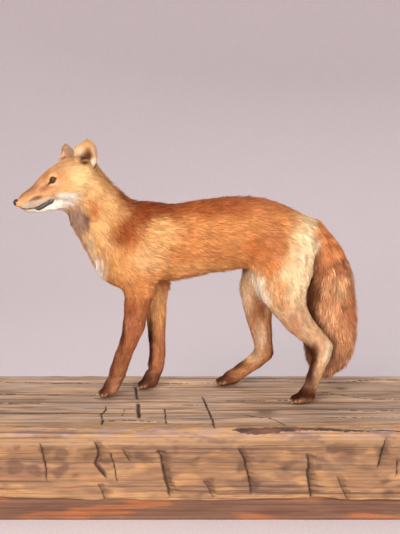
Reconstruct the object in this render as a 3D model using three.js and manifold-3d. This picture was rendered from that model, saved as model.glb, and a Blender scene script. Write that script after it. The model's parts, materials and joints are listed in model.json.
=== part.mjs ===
// A mounted red fox, standing life size on a length of hewn timber, in millimetres, +Z up.
//
// The fox faces -X with its left side towards -Y, and its head is turned a little to its left.
// The origin is at the middle of the timber's underside.
//
// The body is one blended field: each body part is a chain of stations, every station a ball of
// coat and flesh that may be broader or narrower across the body than it is deep. The surface of
// the field is meshed part by part and parted with thin cuts, so that neighbours meet cleanly.

import * as THREE from "three";
import { mergeVertices } from "three/addons/utils/BufferGeometryUtils.js";
import Module from "manifold-3d";

const wasm = await Module();
wasm.setup();

// ---------------------------------------------------------------- driving dimensions
const GAP = 0.3; // clearance between two parts that meet
const EASED_GAP = GAP * 1.5; // the wider one left all round a part that its neighbour is cut by
const FINEST = 0.04; // cuts leave no edge shorter than this
const TIMBER = { length: 980, depth: 343, height: 180 };
const FRONT_EDGE_TO_SPINE = 222; // from the timber's front face to the fox's middle line
const HEAD_PITCH = 22.8; // degrees, how far the line from nose to nape rises
const HEAD_YAW = 12; // degrees, how far the nose is turned to the fox's left
const EYE_RADIUS = 9;
const NOSE_PAD = { long: 7, broad: 8.5, high: 7 }; // half sizes
const MOUTH = { front: 6, corner: 76, frontHeight: -20.5, cornerHeight: -26 };

// ---------------------------------------------------------------- fields
// A station: where it is, its radius in the plane of the spine, and its breadth as a share of that.
const station = (x, y, z, radius, breadth = 1) => ({ x, y, z, radius, breadth });

// The smaller of two distances, with the corner between them filled over the width k.
function blend(a, b, k) {
  const near = Math.max(k - Math.abs(a - b), 0) / k;
  return Math.min(a, b) - (near * near * k) / 4;
}

// Distance from (x, y, z) to the tapered form between two stations.
function taper(a, b, x, y, z) {
  const dx = b.x - a.x;
  const dz = b.z - a.z;
  const along = ((x - a.x) * dx + (z - a.z) * dz) / (dx * dx + dz * dz);
  const t = Math.min(Math.max(along, 0), 1);
  const mix = (from, to) => from + (to - from) * t;
  const across = (y - mix(a.y, b.y)) / mix(a.breadth, b.breadth);
  return Math.hypot(x - a.x - dx * t, across, z - a.z - dz * t) - mix(a.radius, b.radius);
}

// The field of a whole chain of stations.
function chain(stations, softness = 8) {
  return (x, y, z) => {
    let field = Infinity;
    for (let i = 1; i < stations.length; i++) {
      const piece = taper(stations[i - 1], stations[i], x, y, z);
      field = i === 1 ? piece : blend(field, piece, softness);
    }
    return field;
  };
}

// ---------------------------------------------------------------- trunk and neck
const trunkChain = chain([
  station(-152, -1, 288, 64, 0.8), // brisket
  station(-108, -1, 317, 79, 0.78), // shoulders
  station(-50, -2, 322, 76, 0.8), // ribs
  station(5, -3, 334, 74, 0.79), // belly
  station(58, -4, 340, 75.5, 0.74), // loin
  station(108, -5, 343, 73, 0.72), // flank
  station(150, -5, 338, 65, 0.8), // rump
  station(186, -5, 338, 48, 0.95), // croup
  station(218, -4, 345, 31, 1), // dock
]);

const neckChain = chain([
  station(-226, -6, 422, 51, 0.88), // behind the jaw
  station(-205, -4, 380, 62, 0.78), // middle of the neck
  station(-172, -2, 338, 70, 0.76), // where it meets the brisket
  station(-112, -1, 326, 74, 0.76), // inside the shoulders
]);

// ---------------------------------------------------------------- legs
const foreleg = {
  left: [
    station(-100, -36, 342, 32, 0.6), // shoulder blade
    station(-158, -38, 284, 34, 0.75), // point of the shoulder
    station(-120, -43, 234, 30, 0.75), // elbow
    station(-127, -42, 200, 26.5, 0.76), // top of the forearm
    station(-134, -40, 154, 23, 0.8), // forearm
    station(-145, -37, 122, 18.8, 0.86), // above the wrist
    station(-158, -34, 88, 18, 0.86), // wrist
    station(-168, -31.5, 58, 18.4, 0.84), // pastern
    station(-179, -29.5, 30, 17, 0.9), // into the paw
  ],
  right: [
    station(-90, 34, 342, 32, 0.6),
    station(-138, 36, 286, 34, 0.75),
    station(-94, 41, 236, 28, 0.78),
    station(-93, 40, 196, 25, 0.78),
    station(-92, 37, 152, 22, 0.82),
    station(-91, 34, 110, 18.4, 0.86),
    station(-89.5, 31, 76, 17.8, 0.86),
    station(-93, 28.5, 52, 18.2, 0.84),
    station(-101, 26.5, 28, 17, 0.9),
  ],
};

const hindleg = {
  left: [
    station(172, -34, 316, 62, 0.56), // hip
    station(167, -43, 268, 60, 0.5), // thigh
    station(163, -50, 234, 47, 0.58), // knee
    station(175, -52, 205, 37, 0.66),
    station(194, -54, 172, 29, 0.74), // calf
    station(213, -55, 150, 24, 0.8),
    station(232, -56, 134, 21, 0.84),
    station(249, -57, 116, 20, 0.82), // hock
    station(245, -58, 94, 18.6, 0.84),
    station(236, -60.5, 70, 15.6, 0.92), // cannon
    station(228, -63, 48, 14.8, 0.98),
    station(221, -65.5, 28, 15, 1.02), // into the paw
  ],
  right: [
    station(163, 26, 316, 60, 0.56),
    station(143, 38, 262, 56, 0.5),
    station(119, 43, 212, 37, 0.66),
    station(122, 45, 180, 32, 0.7),
    station(125, 46, 152, 28, 0.74),
    station(130, 47.5, 122, 23, 0.8),
    station(134, 48.5, 98, 20, 0.84),
    station(138, 49.5, 74, 20.5, 0.82), // hock
    station(118, 50, 53, 18, 0.88),
    station(92, 50, 35, 16.6, 0.94), // cannon
    station(72, 50, 22, 15, 1.04), // into the paw
  ],
};

// ---------------------------------------------------------------- paws
// Four toes fan out from the ball of the foot. heel and toe are the ends of the footprint.
const PAWS = {
  forepaw_left: { heel: -172, toe: -214, y: -29, broad: 15.5, high: 16 },
  forepaw_right: { heel: -92, toe: -137, y: 26, broad: 15.5, high: 16 },
  hindpaw_left: { heel: 231, toe: 179, y: -67, broad: 14.5, high: 15 },
  hindpaw_right: { heel: 82, toe: 30, y: 50, broad: 14.5, high: 15 },
};
const TOE = { radius: 7.6, count: 4, outerShortfall: 6.5 };

// The places of a paw's toe tips, from one side to the other.
function toeTips({ toe, y, broad }) {
  return Array.from({ length: TOE.count }, (_, i) => {
    const side = (2 * i) / (TOE.count - 1) - 1;
    const shortfall = TOE.outerShortfall * Math.abs(side) ** 1.5;
    return { x: toe + TOE.radius + shortfall, y: y + side * (broad - TOE.radius * 0.35) };
  });
}

function pawField(paw) {
  const { heel, toe, y, broad, high } = paw;
  const ball = heel + (toe - heel) * 0.42;
  const forms = [
    chain([station(heel - 9, y, 13, 12, 1.05), station(ball, y, high, 14, broad / 14)]),
    ...toeTips(paw).map((tip) =>
      chain([
        station(ball, y + (tip.y - y) * 0.75, high - 2, TOE.radius + 1.5),
        station(tip.x, tip.y, TOE.radius + 0.6, TOE.radius),
      ]),
    ),
  ];
  return (px, py, pz) => forms.map((form) => form(px, py, pz)).reduce((a, b) => blend(a, b, 4));
}

// ---------------------------------------------------------------- tail
const tailStations = [
  station(205, -4, 352, 27, 1), // dock
  station(226, -3, 342, 26, 0.98),
  station(241, -1, 328, 26, 0.95),
  station(254, 2, 310, 28, 0.92),
  station(267, 5, 286, 32, 0.88),
  station(273, 8, 262, 37.5, 0.84), // the brush begins
  station(272, 11, 234, 46, 0.8),
  station(271, 13, 203, 51, 0.78),
  station(272, 14, 166, 54.5, 0.78),
  station(272, 14, 130, 56, 0.78), // fullest
  station(271, 14, 99, 54, 0.78),
  station(267, 13, 76, 45, 0.8),
  station(261, 12, 55, 29, 0.85),
  station(257, 11, 37, 13, 0.95), // tip
];
const tailChain = chain(tailStations);

// ---------------------------------------------------------------- head
// The head has a frame of its own: u runs from the tip of the nose towards the nape, s to the
// fox's left and w up, so that u, s, w take the place of x, y, z in its stations.
const rad = THREE.MathUtils.degToRad;
const NOSE_TIP = new THREE.Vector3(-370.5, -35, 404.5);
const backwards = new THREE.Vector3(
  Math.cos(rad(HEAD_PITCH)) * Math.cos(rad(HEAD_YAW)),
  Math.cos(rad(HEAD_PITCH)) * Math.sin(rad(HEAD_YAW)),
  Math.sin(rad(HEAD_PITCH)),
);
const leftwards = new THREE.Vector3(Math.sin(rad(HEAD_YAW)), -Math.cos(rad(HEAD_YAW)), 0);
const upwards = new THREE.Vector3().crossVectors(leftwards, backwards);
const headFrame = new THREE.Matrix4()
  .makeBasis(backwards, leftwards.clone().negate(), upwards)
  .setPosition(NOSE_TIP);
const toHead = headFrame.clone().invert();

const headForms = [
  chain([
    station(9, 0, -4, 9.5, 1.15), // behind the nose pad
    station(30, 0, -8.5, 18.6, 0.84), // whisker pads
    station(50, 0, -8, 21.6, 0.86), // middle of the muzzle
    station(68, 0, -4, 25, 0.9), // root of the muzzle
    station(80, 0, -1.5, 28, 0.9), // below the eyes
    station(97, 0, 0, 34, 0.92), // brow
    station(124, 0, -2, 40, 1.05), // crown
    station(150, 0, -7, 38, 1.12), // back of the skull
  ]),
  chain([
    station(21, 0, -24.5, 7.4, 1.1), // chin
    station(46, 0, -31.5, 9.4, 1.35),
    station(76, 0, -36.5, 13, 1.5), // corner of the jaw
    station(106, 0, -36, 20, 1.35),
  ]),
  ...[-1, 1].map((side) =>
    chain([station(100, side * 21, -14, 22), station(134, side * 25, -20, 25)]),
  ), // cheeks
];
// The hollow that each eye stands in.
const SOCKET = { u: 90, s: 43, w: 14, radius: 15.5 };
const point = new THREE.Vector3();
function headField(x, y, z) {
  point.set(x, y, z).applyMatrix4(toHead);
  const { x: u, y: s, z: w } = point;
  const full = headForms.map((form) => form(u, s, w)).reduce((a, b) => blend(a, b, 7));
  const socket = Math.hypot(u - SOCKET.u, Math.abs(s) - SOCKET.s, w - SOCKET.w) - SOCKET.radius;
  return -blend(-full, socket, 5);
}

// ---------------------------------------------------------------- the whole body's field
const LEG_BLEND = 22;
const legChains = [foreleg.left, foreleg.right, hindleg.left, hindleg.right].map((l) => chain(l));
function stemField(x, y, z) {
  const trunkAndNeck = blend(trunkChain(x, y, z), neckChain(x, y, z), 24);
  return blend(trunkAndNeck, headField(x, y, z), 16);
}
// The tail with the croup that it grows from.
const tailField = (x, y, z) => blend(trunkChain(x, y, z), tailChain(x, y, z), 14);
function bodyField(x, y, z) {
  const stem = stemField(x, y, z);
  return Math.min(...legChains.map((leg) => blend(stem, leg(x, y, z), LEG_BLEND)));
}
// One leg with the stem it grows from, and its paw.
const legAndPaw = (legIndex, paw) => {
  const foot = pawField(PAWS[paw]);
  return (x, y, z) => {
    const leg = blend(stemField(x, y, z), legChains[legIndex](x, y, z), LEG_BLEND);
    return blend(leg, foot(x, y, z), 9);
  };
};

// ---------------------------------------------------------------- meshing
// Surface nets: one vertex in each cell that the surface crosses, moved onto the surface, and a
// square across each edge of the grid that it crosses. low and high are the corners of the grid.
const LEAST_VALUE = 0.6; // no corner of the grid lies closer to the surface than this
function surfaceOf(field, low, high, cell) {
  const count = [0, 1, 2].map((k) => Math.ceil((high[k] - low[k]) / cell[k]) + 1);
  const [nx, ny, nz] = count;
  const at = (k, i) => low[k] + i * cell[k];
  const index = (i, j, k) => (i * ny + j) * nz + k;
  const values = new Float64Array(nx * ny * nz);
  for (let i = 0; i < nx; i++)
    for (let j = 0; j < ny; j++)
      for (let k = 0; k < nz; k++) {
        const rim = i * j * k === 0 || i === nx - 1 || j === ny - 1 || k === nz - 1;
        const value = field(at(0, i), at(1, j), at(2, k));
        const clear = Math.max(Math.abs(value), LEAST_VALUE);
        values[index(i, j, k)] = rim || value > 0 ? clear : -clear;
      }
  clearPinches(values, count, index);
  const vertexOf = new Map();
  const vertices = [];
  for (let i = 0; i < nx - 1; i++)
    for (let j = 0; j < ny - 1; j++)
      for (let k = 0; k < nz - 1; k++) {
        const crossings = cellCrossings(i, j, k, values, index);
        if (!crossings.length) continue;
        const place = [0, 1, 2].map(
          (axis) => crossings.reduce((sum, c) => sum + c[axis], 0) / crossings.length,
        );
        vertexOf.set(index(i, j, k), vertices.length / 3);
        vertices.push(...place.map((value, axis) => at(axis, value)));
      }
  settle(vertices, field, low, high, cell);
  return squaresBetween(vertexOf, vertices, values, count, index);
}

// Two corners of the grid that are inside, and touch only across a diagonal, would pinch the
// surface to a point. One of the two is put outside, until no such pair is left.
function clearPinches(values, [nx, ny, nz], index) {
  const inside = (place) => values[place] < 0;
  let found = true;
  while (found) {
    found = false;
    for (let i = 0; i < nx - 1; i++)
      for (let j = 0; j < ny - 1; j++)
        for (let k = 0; k < nz - 1; k++) {
          const corner = (a, b, c) => index(i + a, j + b, k + c);
          const faces = [
            [corner(0, 0, 0), corner(1, 0, 0), corner(1, 1, 0), corner(0, 1, 0)],
            [corner(0, 0, 0), corner(0, 1, 0), corner(0, 1, 1), corner(0, 0, 1)],
            [corner(0, 0, 0), corner(1, 0, 0), corner(1, 0, 1), corner(0, 0, 1)],
          ];
          for (const [a, b, c, d] of faces) {
            const [first, second] = inside(a) ? [a, c] : [b, d];
            const others = inside(a) ? [b, d] : [a, c];
            if (!inside(first) || !inside(second) || others.some(inside)) continue;
            values[values[first] > values[second] ? first : second] = LEAST_VALUE;
            found = true;
          }
        }
  }
}

// Where the surface crosses a cell's twelve edges, in steps of the grid.
function cellCrossings(i, j, k, values, index) {
  const found = [];
  for (let axis = 0; axis < 3; axis++)
    for (let side = 0; side < 4; side++) {
      const start = [i, j, k];
      start[(axis + 1) % 3] += side & 1;
      start[(axis + 2) % 3] += side >> 1;
      const end = start.slice();
      end[axis] += 1;
      const a = values[index(...start)];
      const b = values[index(...end)];
      if (a < 0 === b < 0) continue;
      start[axis] += a / (a - b);
      found.push(start);
    }
  return found;
}

// Moves each vertex towards the surface, by at most a share of its cell.
const MOST_MOVE = 0.3;
function settle(vertices, field, low, high, cell) {
  const step = 0.5;
  for (let v = 0; v < vertices.length; v += 3) {
    const p = vertices.slice(v, v + 3);
    const inside = p.every((c, k) => c > low[k] + cell[k] * 1.2 && c < high[k] - cell[k] * 1.2);
    if (!inside) continue;
    const value = field(...p);
    const slope = p.map((_, k) => {
      const q = p.slice();
      q[k] += step;
      return (field(...q) - value) / step;
    });
    const steep = slope.reduce((sum, s) => sum + s * s, 0);
    p.forEach((c, k) => {
      const move = (-value * slope[k]) / steep;
      const most = cell[k] * MOST_MOVE;
      vertices[v + k] = c + Math.max(-most, Math.min(most, move));
    });
  }
}

function squaresBetween(vertexOf, vertices, values, [nx, ny, nz], index) {
  const triangles = [];
  const corner = (v) => new THREE.Vector3(...vertices.slice(3 * v, 3 * v + 3));
  for (let i = 0; i < nx - 1; i++)
    for (let j = 0; j < ny - 1; j++)
      for (let k = 0; k < nz - 1; k++)
        for (let axis = 0; axis < 3; axis++) {
          const here = [i, j, k];
          if (here[(axis + 1) % 3] * here[(axis + 2) % 3] === 0) continue;
          const next = here.slice();
          next[axis] += 1;
          const inside = values[index(...here)] < 0;
          if (inside === values[index(...next)] < 0) continue;
          const ring = [[0, 0], [1, 0], [1, 1], [0, 1]].map(([a, b]) => {
            const square = here.slice();
            square[(axis + 1) % 3] -= a;
            square[(axis + 2) % 3] -= b;
            return vertexOf.get(index(...square));
          });
          const [a, b, c, d] = inside ? ring : ring.reverse();
          const short = corner(a).distanceTo(corner(c)) < corner(b).distanceTo(corner(d));
          triangles.push(...(short ? [a, b, c, a, c, d] : [a, b, d, b, c, d]));
        }
  return new THREE.BufferGeometry()
    .setAttribute("position", new THREE.Float32BufferAttribute(vertices, 3))
    .setIndex(triangles);
}

// ---------------------------------------------------------------- cutting and joining
function solidOf(geometry) {
  const bare = geometry.clone();
  bare.deleteAttribute("normal");
  bare.deleteAttribute("uv");
  const merged = mergeVertices(bare, 1e-4);
  return new wasm.Manifold(
    new wasm.Mesh({
      numProp: 3,
      vertProperties: merged.attributes.position.array,
      triVerts: new Uint32Array(merged.index.array),
      tolerance: FINEST,
    }),
  );
}

function geometryOf(solid) {
  const mesh = solid.getMesh();
  return new THREE.BufferGeometry()
    .setAttribute("position", new THREE.Float32BufferAttribute(mesh.vertProperties, 3))
    .setIndex(new THREE.Uint32BufferAttribute(mesh.triVerts, 1));
}

const HUGE = 900;
// All that lies on the far side of a plane, which holds the points (x, z) and (x2, z2) and runs
// straight across the body. It lies to the right of the way from the first to the second.
function beyond([x, z], [x2, z2], setBack = 0) {
  const run = new THREE.Vector2(x2 - x, z2 - z).normalize();
  const block = new THREE.BoxGeometry(HUGE, HUGE, HUGE)
    .translate(0, 0, -HUGE / 2 - setBack)
    .rotateY(-Math.atan2(run.y, run.x))
    .translate((x + x2) / 2, 0, (z + z2) / 2);
  return solidOf(block);
}

// All on one side of the plane y = across: side 1 is the fox's right, -1 its left.
const sideways = (across, side) =>
  solidOf(new THREE.BoxGeometry(HUGE, HUGE, HUGE).translate(0, across + (side * HUGE) / 2, 0));

const both = (a, b) => wasm.Manifold.intersection(a, b);
const keepWithin = (solid, ...regions) => regions.reduce(both, solid);

// The largest piece of a cut, without the crumbs that a cut may leave.
function largest(solid) {
  const pieces = solid.decompose();
  return pieces.reduce((a, b) => (a.volume() > b.volume() ? a : b));
}

// A solid together with copies of it, each moved a little along one axis: a neighbour is cut by
// this one, so that a gap is left.
function withClearance(solid) {
  const shifts = [[1, 0, 0], [-1, 0, 0], [0, 1, 0], [0, -1, 0], [0, 0, 1], [0, 0, -1]];
  return shifts.reduce(
    (sum, shift) => sum.add(solid.translate(shift.map((s) => s * EASED_GAP))),
    solid,
  );
}

// ---------------------------------------------------------------- where the parts are cut
const CUT = {
  headAndNeck: [[-279, 374], [-196, 476]],
  neckAndTrunk: [[-207, 244], [-128, 404]],
  forelegTop: [[-215, 222], [-50, 232]],
  wrist: { left: [[-205, 42], [-120, 50]], right: [[-135, 40], [-50, 42]] },
  hip: [[55, 254], [250, 352]],
  knee: { left: [[95, 196], [260, 226]], right: [[60, 186], [210, 206]] },
  ankle: { left: [[185, 38], [265, 42]], right: [[62, 50], [90, 4]] },
  dock: [[228, 382], [216, 316]],
  brush: [[236, 272], [318, 296]],
};
const swap = ([a, b]) => [b, a];
// The two sides of a cut: below() lies to its right, above() to its left.
const below = (cut) => beyond(...cut, GAP / 2);
const above = (cut) => beyond(...swap(cut), GAP / 2);

// ---------------------------------------------------------------- the ears
// A funnel of skin: a sheet rolled round its own axis, widest below the middle, with a round tip.
const EAR = { height: 82, halfWidth: 20.5, rim: 2.4, body: 4.6, rows: 6, columns: 7 };
function earGeometry() {
  const openness = (t) => THREE.MathUtils.lerp(rad(118), rad(52), Math.min(t * 1.3, 1));
  const halfWidth = (t) =>
    t < 0.45
      ? EAR.halfWidth * THREE.MathUtils.lerp(0.66, 1, Math.sin((t / 0.45) * (Math.PI / 2)))
      : EAR.halfWidth * Math.max(1 - ((t - 0.45) / 0.55) ** 2, 0) ** 0.6;
  const sheet = (t, s, outward) => {
    const roll = openness(t);
    const radius = halfWidth(t) / Math.sin(Math.min(roll, Math.PI / 2));
    const thick = THREE.MathUtils.lerp(EAR.body, EAR.rim, Math.max(Math.abs(s), t) ** 2);
    const r = Math.max(radius, 0.6) + outward * thick;
    const sag = radius * Math.cos(roll) * 0.4;
    return [r * Math.sin(s * roll), r * Math.cos(s * roll) - sag, t * EAR.height + outward * t];
  };
  const vertices = [];
  const { rows, columns } = EAR;
  for (const outward of [0, 1])
    for (let i = 0; i <= rows; i++)
      for (let j = 0; j <= columns; j++)
        vertices.push(...sheet((i / rows) * 0.985, (2 * j) / columns - 1, outward));
  const id = (outward, i, j) => (outward * (rows + 1) + i) * (columns + 1) + j;
  const triangles = [];
  const square = (a, b, c, d) => triangles.push(a, b, c, a, c, d);
  for (let i = 0; i < rows; i++) {
    for (let j = 0; j < columns; j++) {
      square(id(0, i, j), id(0, i, j + 1), id(0, i + 1, j + 1), id(0, i + 1, j));
      square(id(1, i, j), id(1, i + 1, j), id(1, i + 1, j + 1), id(1, i, j + 1));
    }
    square(id(0, i, 0), id(0, i + 1, 0), id(1, i + 1, 0), id(1, i, 0));
    square(id(0, i, columns), id(1, i, columns), id(1, i + 1, columns), id(0, i + 1, columns));
  }
  for (let j = 0; j < columns; j++) {
    square(id(0, 0, j), id(1, 0, j), id(1, 0, j + 1), id(0, 0, j + 1));
    square(id(0, rows, j), id(0, rows, j + 1), id(1, rows, j + 1), id(1, rows, j));
  }
  return new THREE.BufferGeometry()
    .setAttribute("position", new THREE.Float32BufferAttribute(vertices, 3))
    .setIndex(triangles);
}

// Where each ear stands: the middle of its root, its tip, and the way its opening faces.
const EARS = {
  ear_left: { root: [-231, -34, 462], tip: [-217, -55, 531], faces: [-0.45, -1, 0.05] },
  ear_right: { root: [-276, 21, 452], tip: [-276, 38, 517], faces: [-1, 0.35, 0.1] },
};
function placedEar({ root, tip, faces }) {
  const up = new THREE.Vector3(...tip).sub(new THREE.Vector3(...root));
  const height = up.length();
  up.normalize();
  const back = new THREE.Vector3(...faces).negate().projectOnPlane(up).normalize();
  const frame = new THREE.Matrix4().makeBasis(new THREE.Vector3().crossVectors(back, up), back, up);
  const scale = new THREE.Matrix4().makeScale(1, 1, height / EAR.height);
  return earGeometry().applyMatrix4(frame.multiply(scale)).translate(...root);
}

// ---------------------------------------------------------------- eyes, nose and claws
const EYE_PLACE = { u: 92, s: 22, w: 12.5 };
const eyeBall = (side, extra) =>
  new THREE.SphereGeometry(EYE_RADIUS + extra, 12, 8)
    .translate(EYE_PLACE.u, -side * EYE_PLACE.s, EYE_PLACE.w)
    .applyMatrix4(headFrame);

const nosePad = (extra) =>
  new THREE.SphereGeometry(1, 12, 8)
    .scale(NOSE_PAD.long + extra, NOSE_PAD.broad + extra, NOSE_PAD.high + extra)
    .translate(NOSE_PAD.long, 0, -2)
    .applyMatrix4(headFrame);

const CLAW = { length: 7.5, radius: 1.7, sides: 5, dip: 30 };
// Each claw is a cone that starts inside its toe and points forwards and down.
const clawsOf = (paw) =>
  toeTips(paw).map((tip) =>
    solidOf(
      new THREE.ConeGeometry(CLAW.radius, CLAW.length, CLAW.sides)
        .rotateZ(Math.PI / 2)
        .rotateY(-rad(CLAW.dip))
        .translate(tip.x - TOE.radius + 1.2, tip.y, TOE.radius * 0.75),
    ),
  );

// ---------------------------------------------------------------- the parts
const fineCell = [7.8, 7, 7.6];
const HEAD_CELL = [10, 9, 9.6];
const headBox = [[-385, -95, 340], [-150, 75, 525]];
const headAndNeck = solidOf(surfaceOf(stemField, ...headBox, HEAD_CELL));
const eyeHoles = [-1, 1].map((side) => solidOf(eyeBall(side, GAP)));
const wholeHead = [...eyeHoles, solidOf(nosePad(GAP))].reduce(
  (solid, hole) => solid.subtract(hole),
  keepWithin(headAndNeck, above(CUT.headAndNeck)),
);

// The lower jaw is all below the mouth's line, from the chin to the corner of the mouth.
const jawBlock = (extra) => {
  const { front, corner, frontHeight, cornerHeight } = MOUTH;
  const slope = Math.atan2(cornerHeight - frontHeight, corner - front);
  const block = new THREE.BoxGeometry(corner - front + 60, 90, 60)
    .translate((corner - front - 60) / 2, 0, -30)
    .rotateY(-slope)
    .translate(front, 0, frontHeight + extra);
  return solidOf(block.translate(extra, 0, 0).applyMatrix4(headFrame));
};

const trunkBox = [[-235, -90, 190], [262, 85, 440]];
const coarse = [25, 17, 19];
const wholeTrunk = solidOf(surfaceOf(bodyField, ...trunkBox, coarse));
const legTops = (side) => [sideways(side === "left" ? -1 : 1, side === "left" ? -1 : 1)];

function legPart(side, index, box, cell, ...regions) {
  const paw = ["forepaw_left", "forepaw_right", "hindpaw_left", "hindpaw_right"][index];
  const solid = solidOf(surfaceOf(legAndPaw(index, paw), ...box, cell));
  const flat = solidOf(new THREE.BoxGeometry(HUGE, HUGE, HUGE).translate(0, 0, HUGE / 2 + GAP));
  return largest(keepWithin(solid, flat, ...legTops(side), ...regions));
}

function legParts(side) {
  const left = side === "left";
  const near = left ? -1 : 1;
  const [fore, hind] = left ? [0, 2] : [1, 3];
  const reach = left ? [-112, 12] : [-12, 105];
  const foreBox = (low, high) => [[left ? -232 : -154, reach[0], low], [-50, reach[1], high]];
  const hindBox = (x, low, x2, high) => [[x, reach[0], low], [x2, reach[1], high]];
  const shinBox = left ? hindBox(130, 25, 285, 245) : hindBox(50, -8, 185, 225);
  const thighBox = left ? hindBox(50, 180, 270, 372) : hindBox(50, 170, 270, 372);
  const hindPawBox = left ? hindBox(162, -8, 258, 60) : hindBox(12, -8, 108, 60);
  const forePawBox = [[left ? -232 : -154, reach[0], -8], [left ? -140 : -62, reach[1], 66]];
  const wrist = CUT.wrist[side];
  const knee = CUT.knee[side];
  const ankle = CUT.ankle[side];
  const claws = (paw, name) =>
    clawsOf(PAWS[name]).reduce((solid, claw) => solid.add(claw), paw);
  return {
    [`foreleg_${side}`]: legPart(
      side, fore, foreBox(30, 246), [11, 10.2, 20], below(CUT.forelegTop), above(wrist),
    ),
    [`forepaw_${side}`]: claws(
      legPart(side, fore, forePawBox, fineCell, below(wrist)), `forepaw_${side}`,
    ),
    [`thigh_${side}`]: legPart(
      side, hind, thighBox, [21, 17, 20], below(CUT.hip), above(knee),
      sideways(near * 2, near),
    ),
    [`shank_${side}`]: legPart(side, hind, shinBox, [12.4, 11, 17.5], below(knee), above(ankle)),
    [`hindpaw_${side}`]: claws(
      legPart(side, hind, hindPawBox, fineCell, below(ankle)), `hindpaw_${side}`,
    ),
  };
}

const legs = { ...legParts("left"), ...legParts("right") };
const legless = [beyond(...CUT.forelegTop, -GAP / 2), beyond(...CUT.hip, -GAP / 2)].reduce(
  (solid, region) => solid.subtract(region),
  wholeTrunk,
);
const tailBox = [[188, -70, 6], [345, 90, 412]];
const wholeTail = solidOf(surfaceOf(tailField, ...tailBox, [20, 18, 25]));
const tail = Object.values(legs).reduce(
  (solid, leg) => solid.subtract(withClearance(leg)),
  keepWithin(wholeTail, above(CUT.dock)),
);
const earClearance = solidOf(
  surfaceOf((x, y, z) => stemField(x, y, z) - 0.8, ...headBox, HEAD_CELL),
);

const COLOUR = {
  coat: 0xc07a3c,
  stocking: 0x6a3a20,
  cream: 0xd8b98a,
  tail: 0xa8683a,
  black: 0x161313,
  glass: 0x2a1708,
  timber: 0x9a7a58,
};
const coat = (color) => new THREE.MeshStandardMaterial({ color, roughness: 0.9, metalness: 0 });
const gloss = (color) => new THREE.MeshStandardMaterial({ color, roughness: 0.2, metalness: 0 });

const parts = [
  ["head", largest(wholeHead.subtract(jawBlock(GAP))), coat(COLOUR.coat)],
  ["lower_jaw", largest(keepWithin(wholeHead, jawBlock(-GAP))), coat(COLOUR.cream)],
  ["nose", solidOf(nosePad(0)), gloss(COLOUR.black)],
  ["eye_left", solidOf(eyeBall(1, 0)), gloss(COLOUR.glass)],
  ["eye_right", solidOf(eyeBall(-1, 0)), gloss(COLOUR.glass)],
  ...Object.entries(EARS).map(([name, place]) => [
    name,
    largest(solidOf(placedEar(place)).subtract(earClearance)),
    coat(COLOUR.coat),
  ]),
  ["neck", largest(keepWithin(solidOf(surfaceOf(stemField, [-300, -80, 225], [-90, 75, 500],
    [20, 18, 20])), below(CUT.headAndNeck), above(CUT.neckAndTrunk))), coat(COLOUR.cream)],
  ["trunk", largest(keepWithin(legless, below(CUT.neckAndTrunk), below(CUT.dock))),
    coat(COLOUR.coat)],
  ["tail_root", largest(keepWithin(tail, above(CUT.brush))),
    coat(COLOUR.tail)],
  ["tail_brush", largest(keepWithin(tail, below(CUT.brush))),
    coat(COLOUR.tail)],
  ...Object.entries(legs).map(([name, solid]) => [
    name,
    solid,
    coat(name.startsWith("thigh") ? COLOUR.cream : COLOUR.stocking),
  ]),
];

// ---------------------------------------------------------------- the timber
// Its section, seen from the end: flat on top and below, a worn front edge, a hewn front face
// that stands proud of a natural strip along the foot, and a plain back.
const WANE = { deep: 17, down: 38 };
const FOOT_STRIP = { high: 46, back: 11 };
function timberGeometry() {
  const { length, depth, height } = TIMBER;
  const front = -depth / 2;
  const section = new THREE.Shape()
    .moveTo(depth / 2, 0)
    .lineTo(depth / 2, height - 6)
    .lineTo(depth / 2 - 6, height)
    .lineTo(front + WANE.deep, height)
    .quadraticCurveTo(front + 2, height - 6, front, height - WANE.down)
    .lineTo(front, FOOT_STRIP.high + 4)
    .lineTo(front + FOOT_STRIP.back, FOOT_STRIP.high - 6)
    .lineTo(front + FOOT_STRIP.back + 4, 0)
    .closePath();
  const geometry = new THREE.ExtrudeGeometry(section, {
    depth: length, steps: 14, curveSegments: 3, bevelEnabled: false,
  });
  return hewn(geometry)
    .rotateX(Math.PI / 2)
    .rotateZ(Math.PI / 2)
    .translate(-length / 2, 0, 0);
}

// Lets the foot strip's upper edge and the worn edge wander along the timber, by whole waves.
function hewn(geometry) {
  const place = geometry.attributes.position;
  for (let i = 0; i < place.count; i++) {
    const [y, z] = [place.getX(i), place.getY(i)];
    const turn = (place.getZ(i) / TIMBER.length) * 2 * Math.PI;
    const wander = Math.sin(3 * turn) * 3 + Math.sin(5 * turn + 1) * 2.5;
    const onLip = y < 0 && z > FOOT_STRIP.high - 8 && z < FOOT_STRIP.high + 8;
    const onWane = y < 0 && z > FOOT_STRIP.high + 8 && z < TIMBER.height - 1 && y > -TIMBER.depth / 2;
    if (onLip || onWane) place.setY(i, z + wander * (onLip ? 1 : 0.4));
  }
  return geometry;
}

// ---------------------------------------------------------------- the model
const model = new THREE.Group();
const fox = new THREE.Group();
fox.position.set(0, FRONT_EDGE_TO_SPINE - TIMBER.depth / 2, TIMBER.height);
for (const [name, solid, material] of parts) {
  const mesh = new THREE.Mesh(geometryOf(solid), material);
  mesh.name = name;
  fox.add(mesh);
}
const timber = new THREE.Mesh(timberGeometry(), coat(COLOUR.timber));
timber.name = "base_timber";
model.add(fox, timber);

export default model;
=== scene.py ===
# %% [markdown]
# # A mounted red fox on hewn timber
# A taxidermist sets a tanned skin over a carved form, so the finished animal has three layers: a
# smooth skin, a coat of hair that lies along it, and the hard pieces set into it: glass eyes, a nose
# pad, lips and claws. This lesson follows the same order. The skin comes first, then the face, then
# the coat as many small tufts of solid mesh, and last the timber that the fox stands on.

# %% The frame
import json
import math

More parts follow.
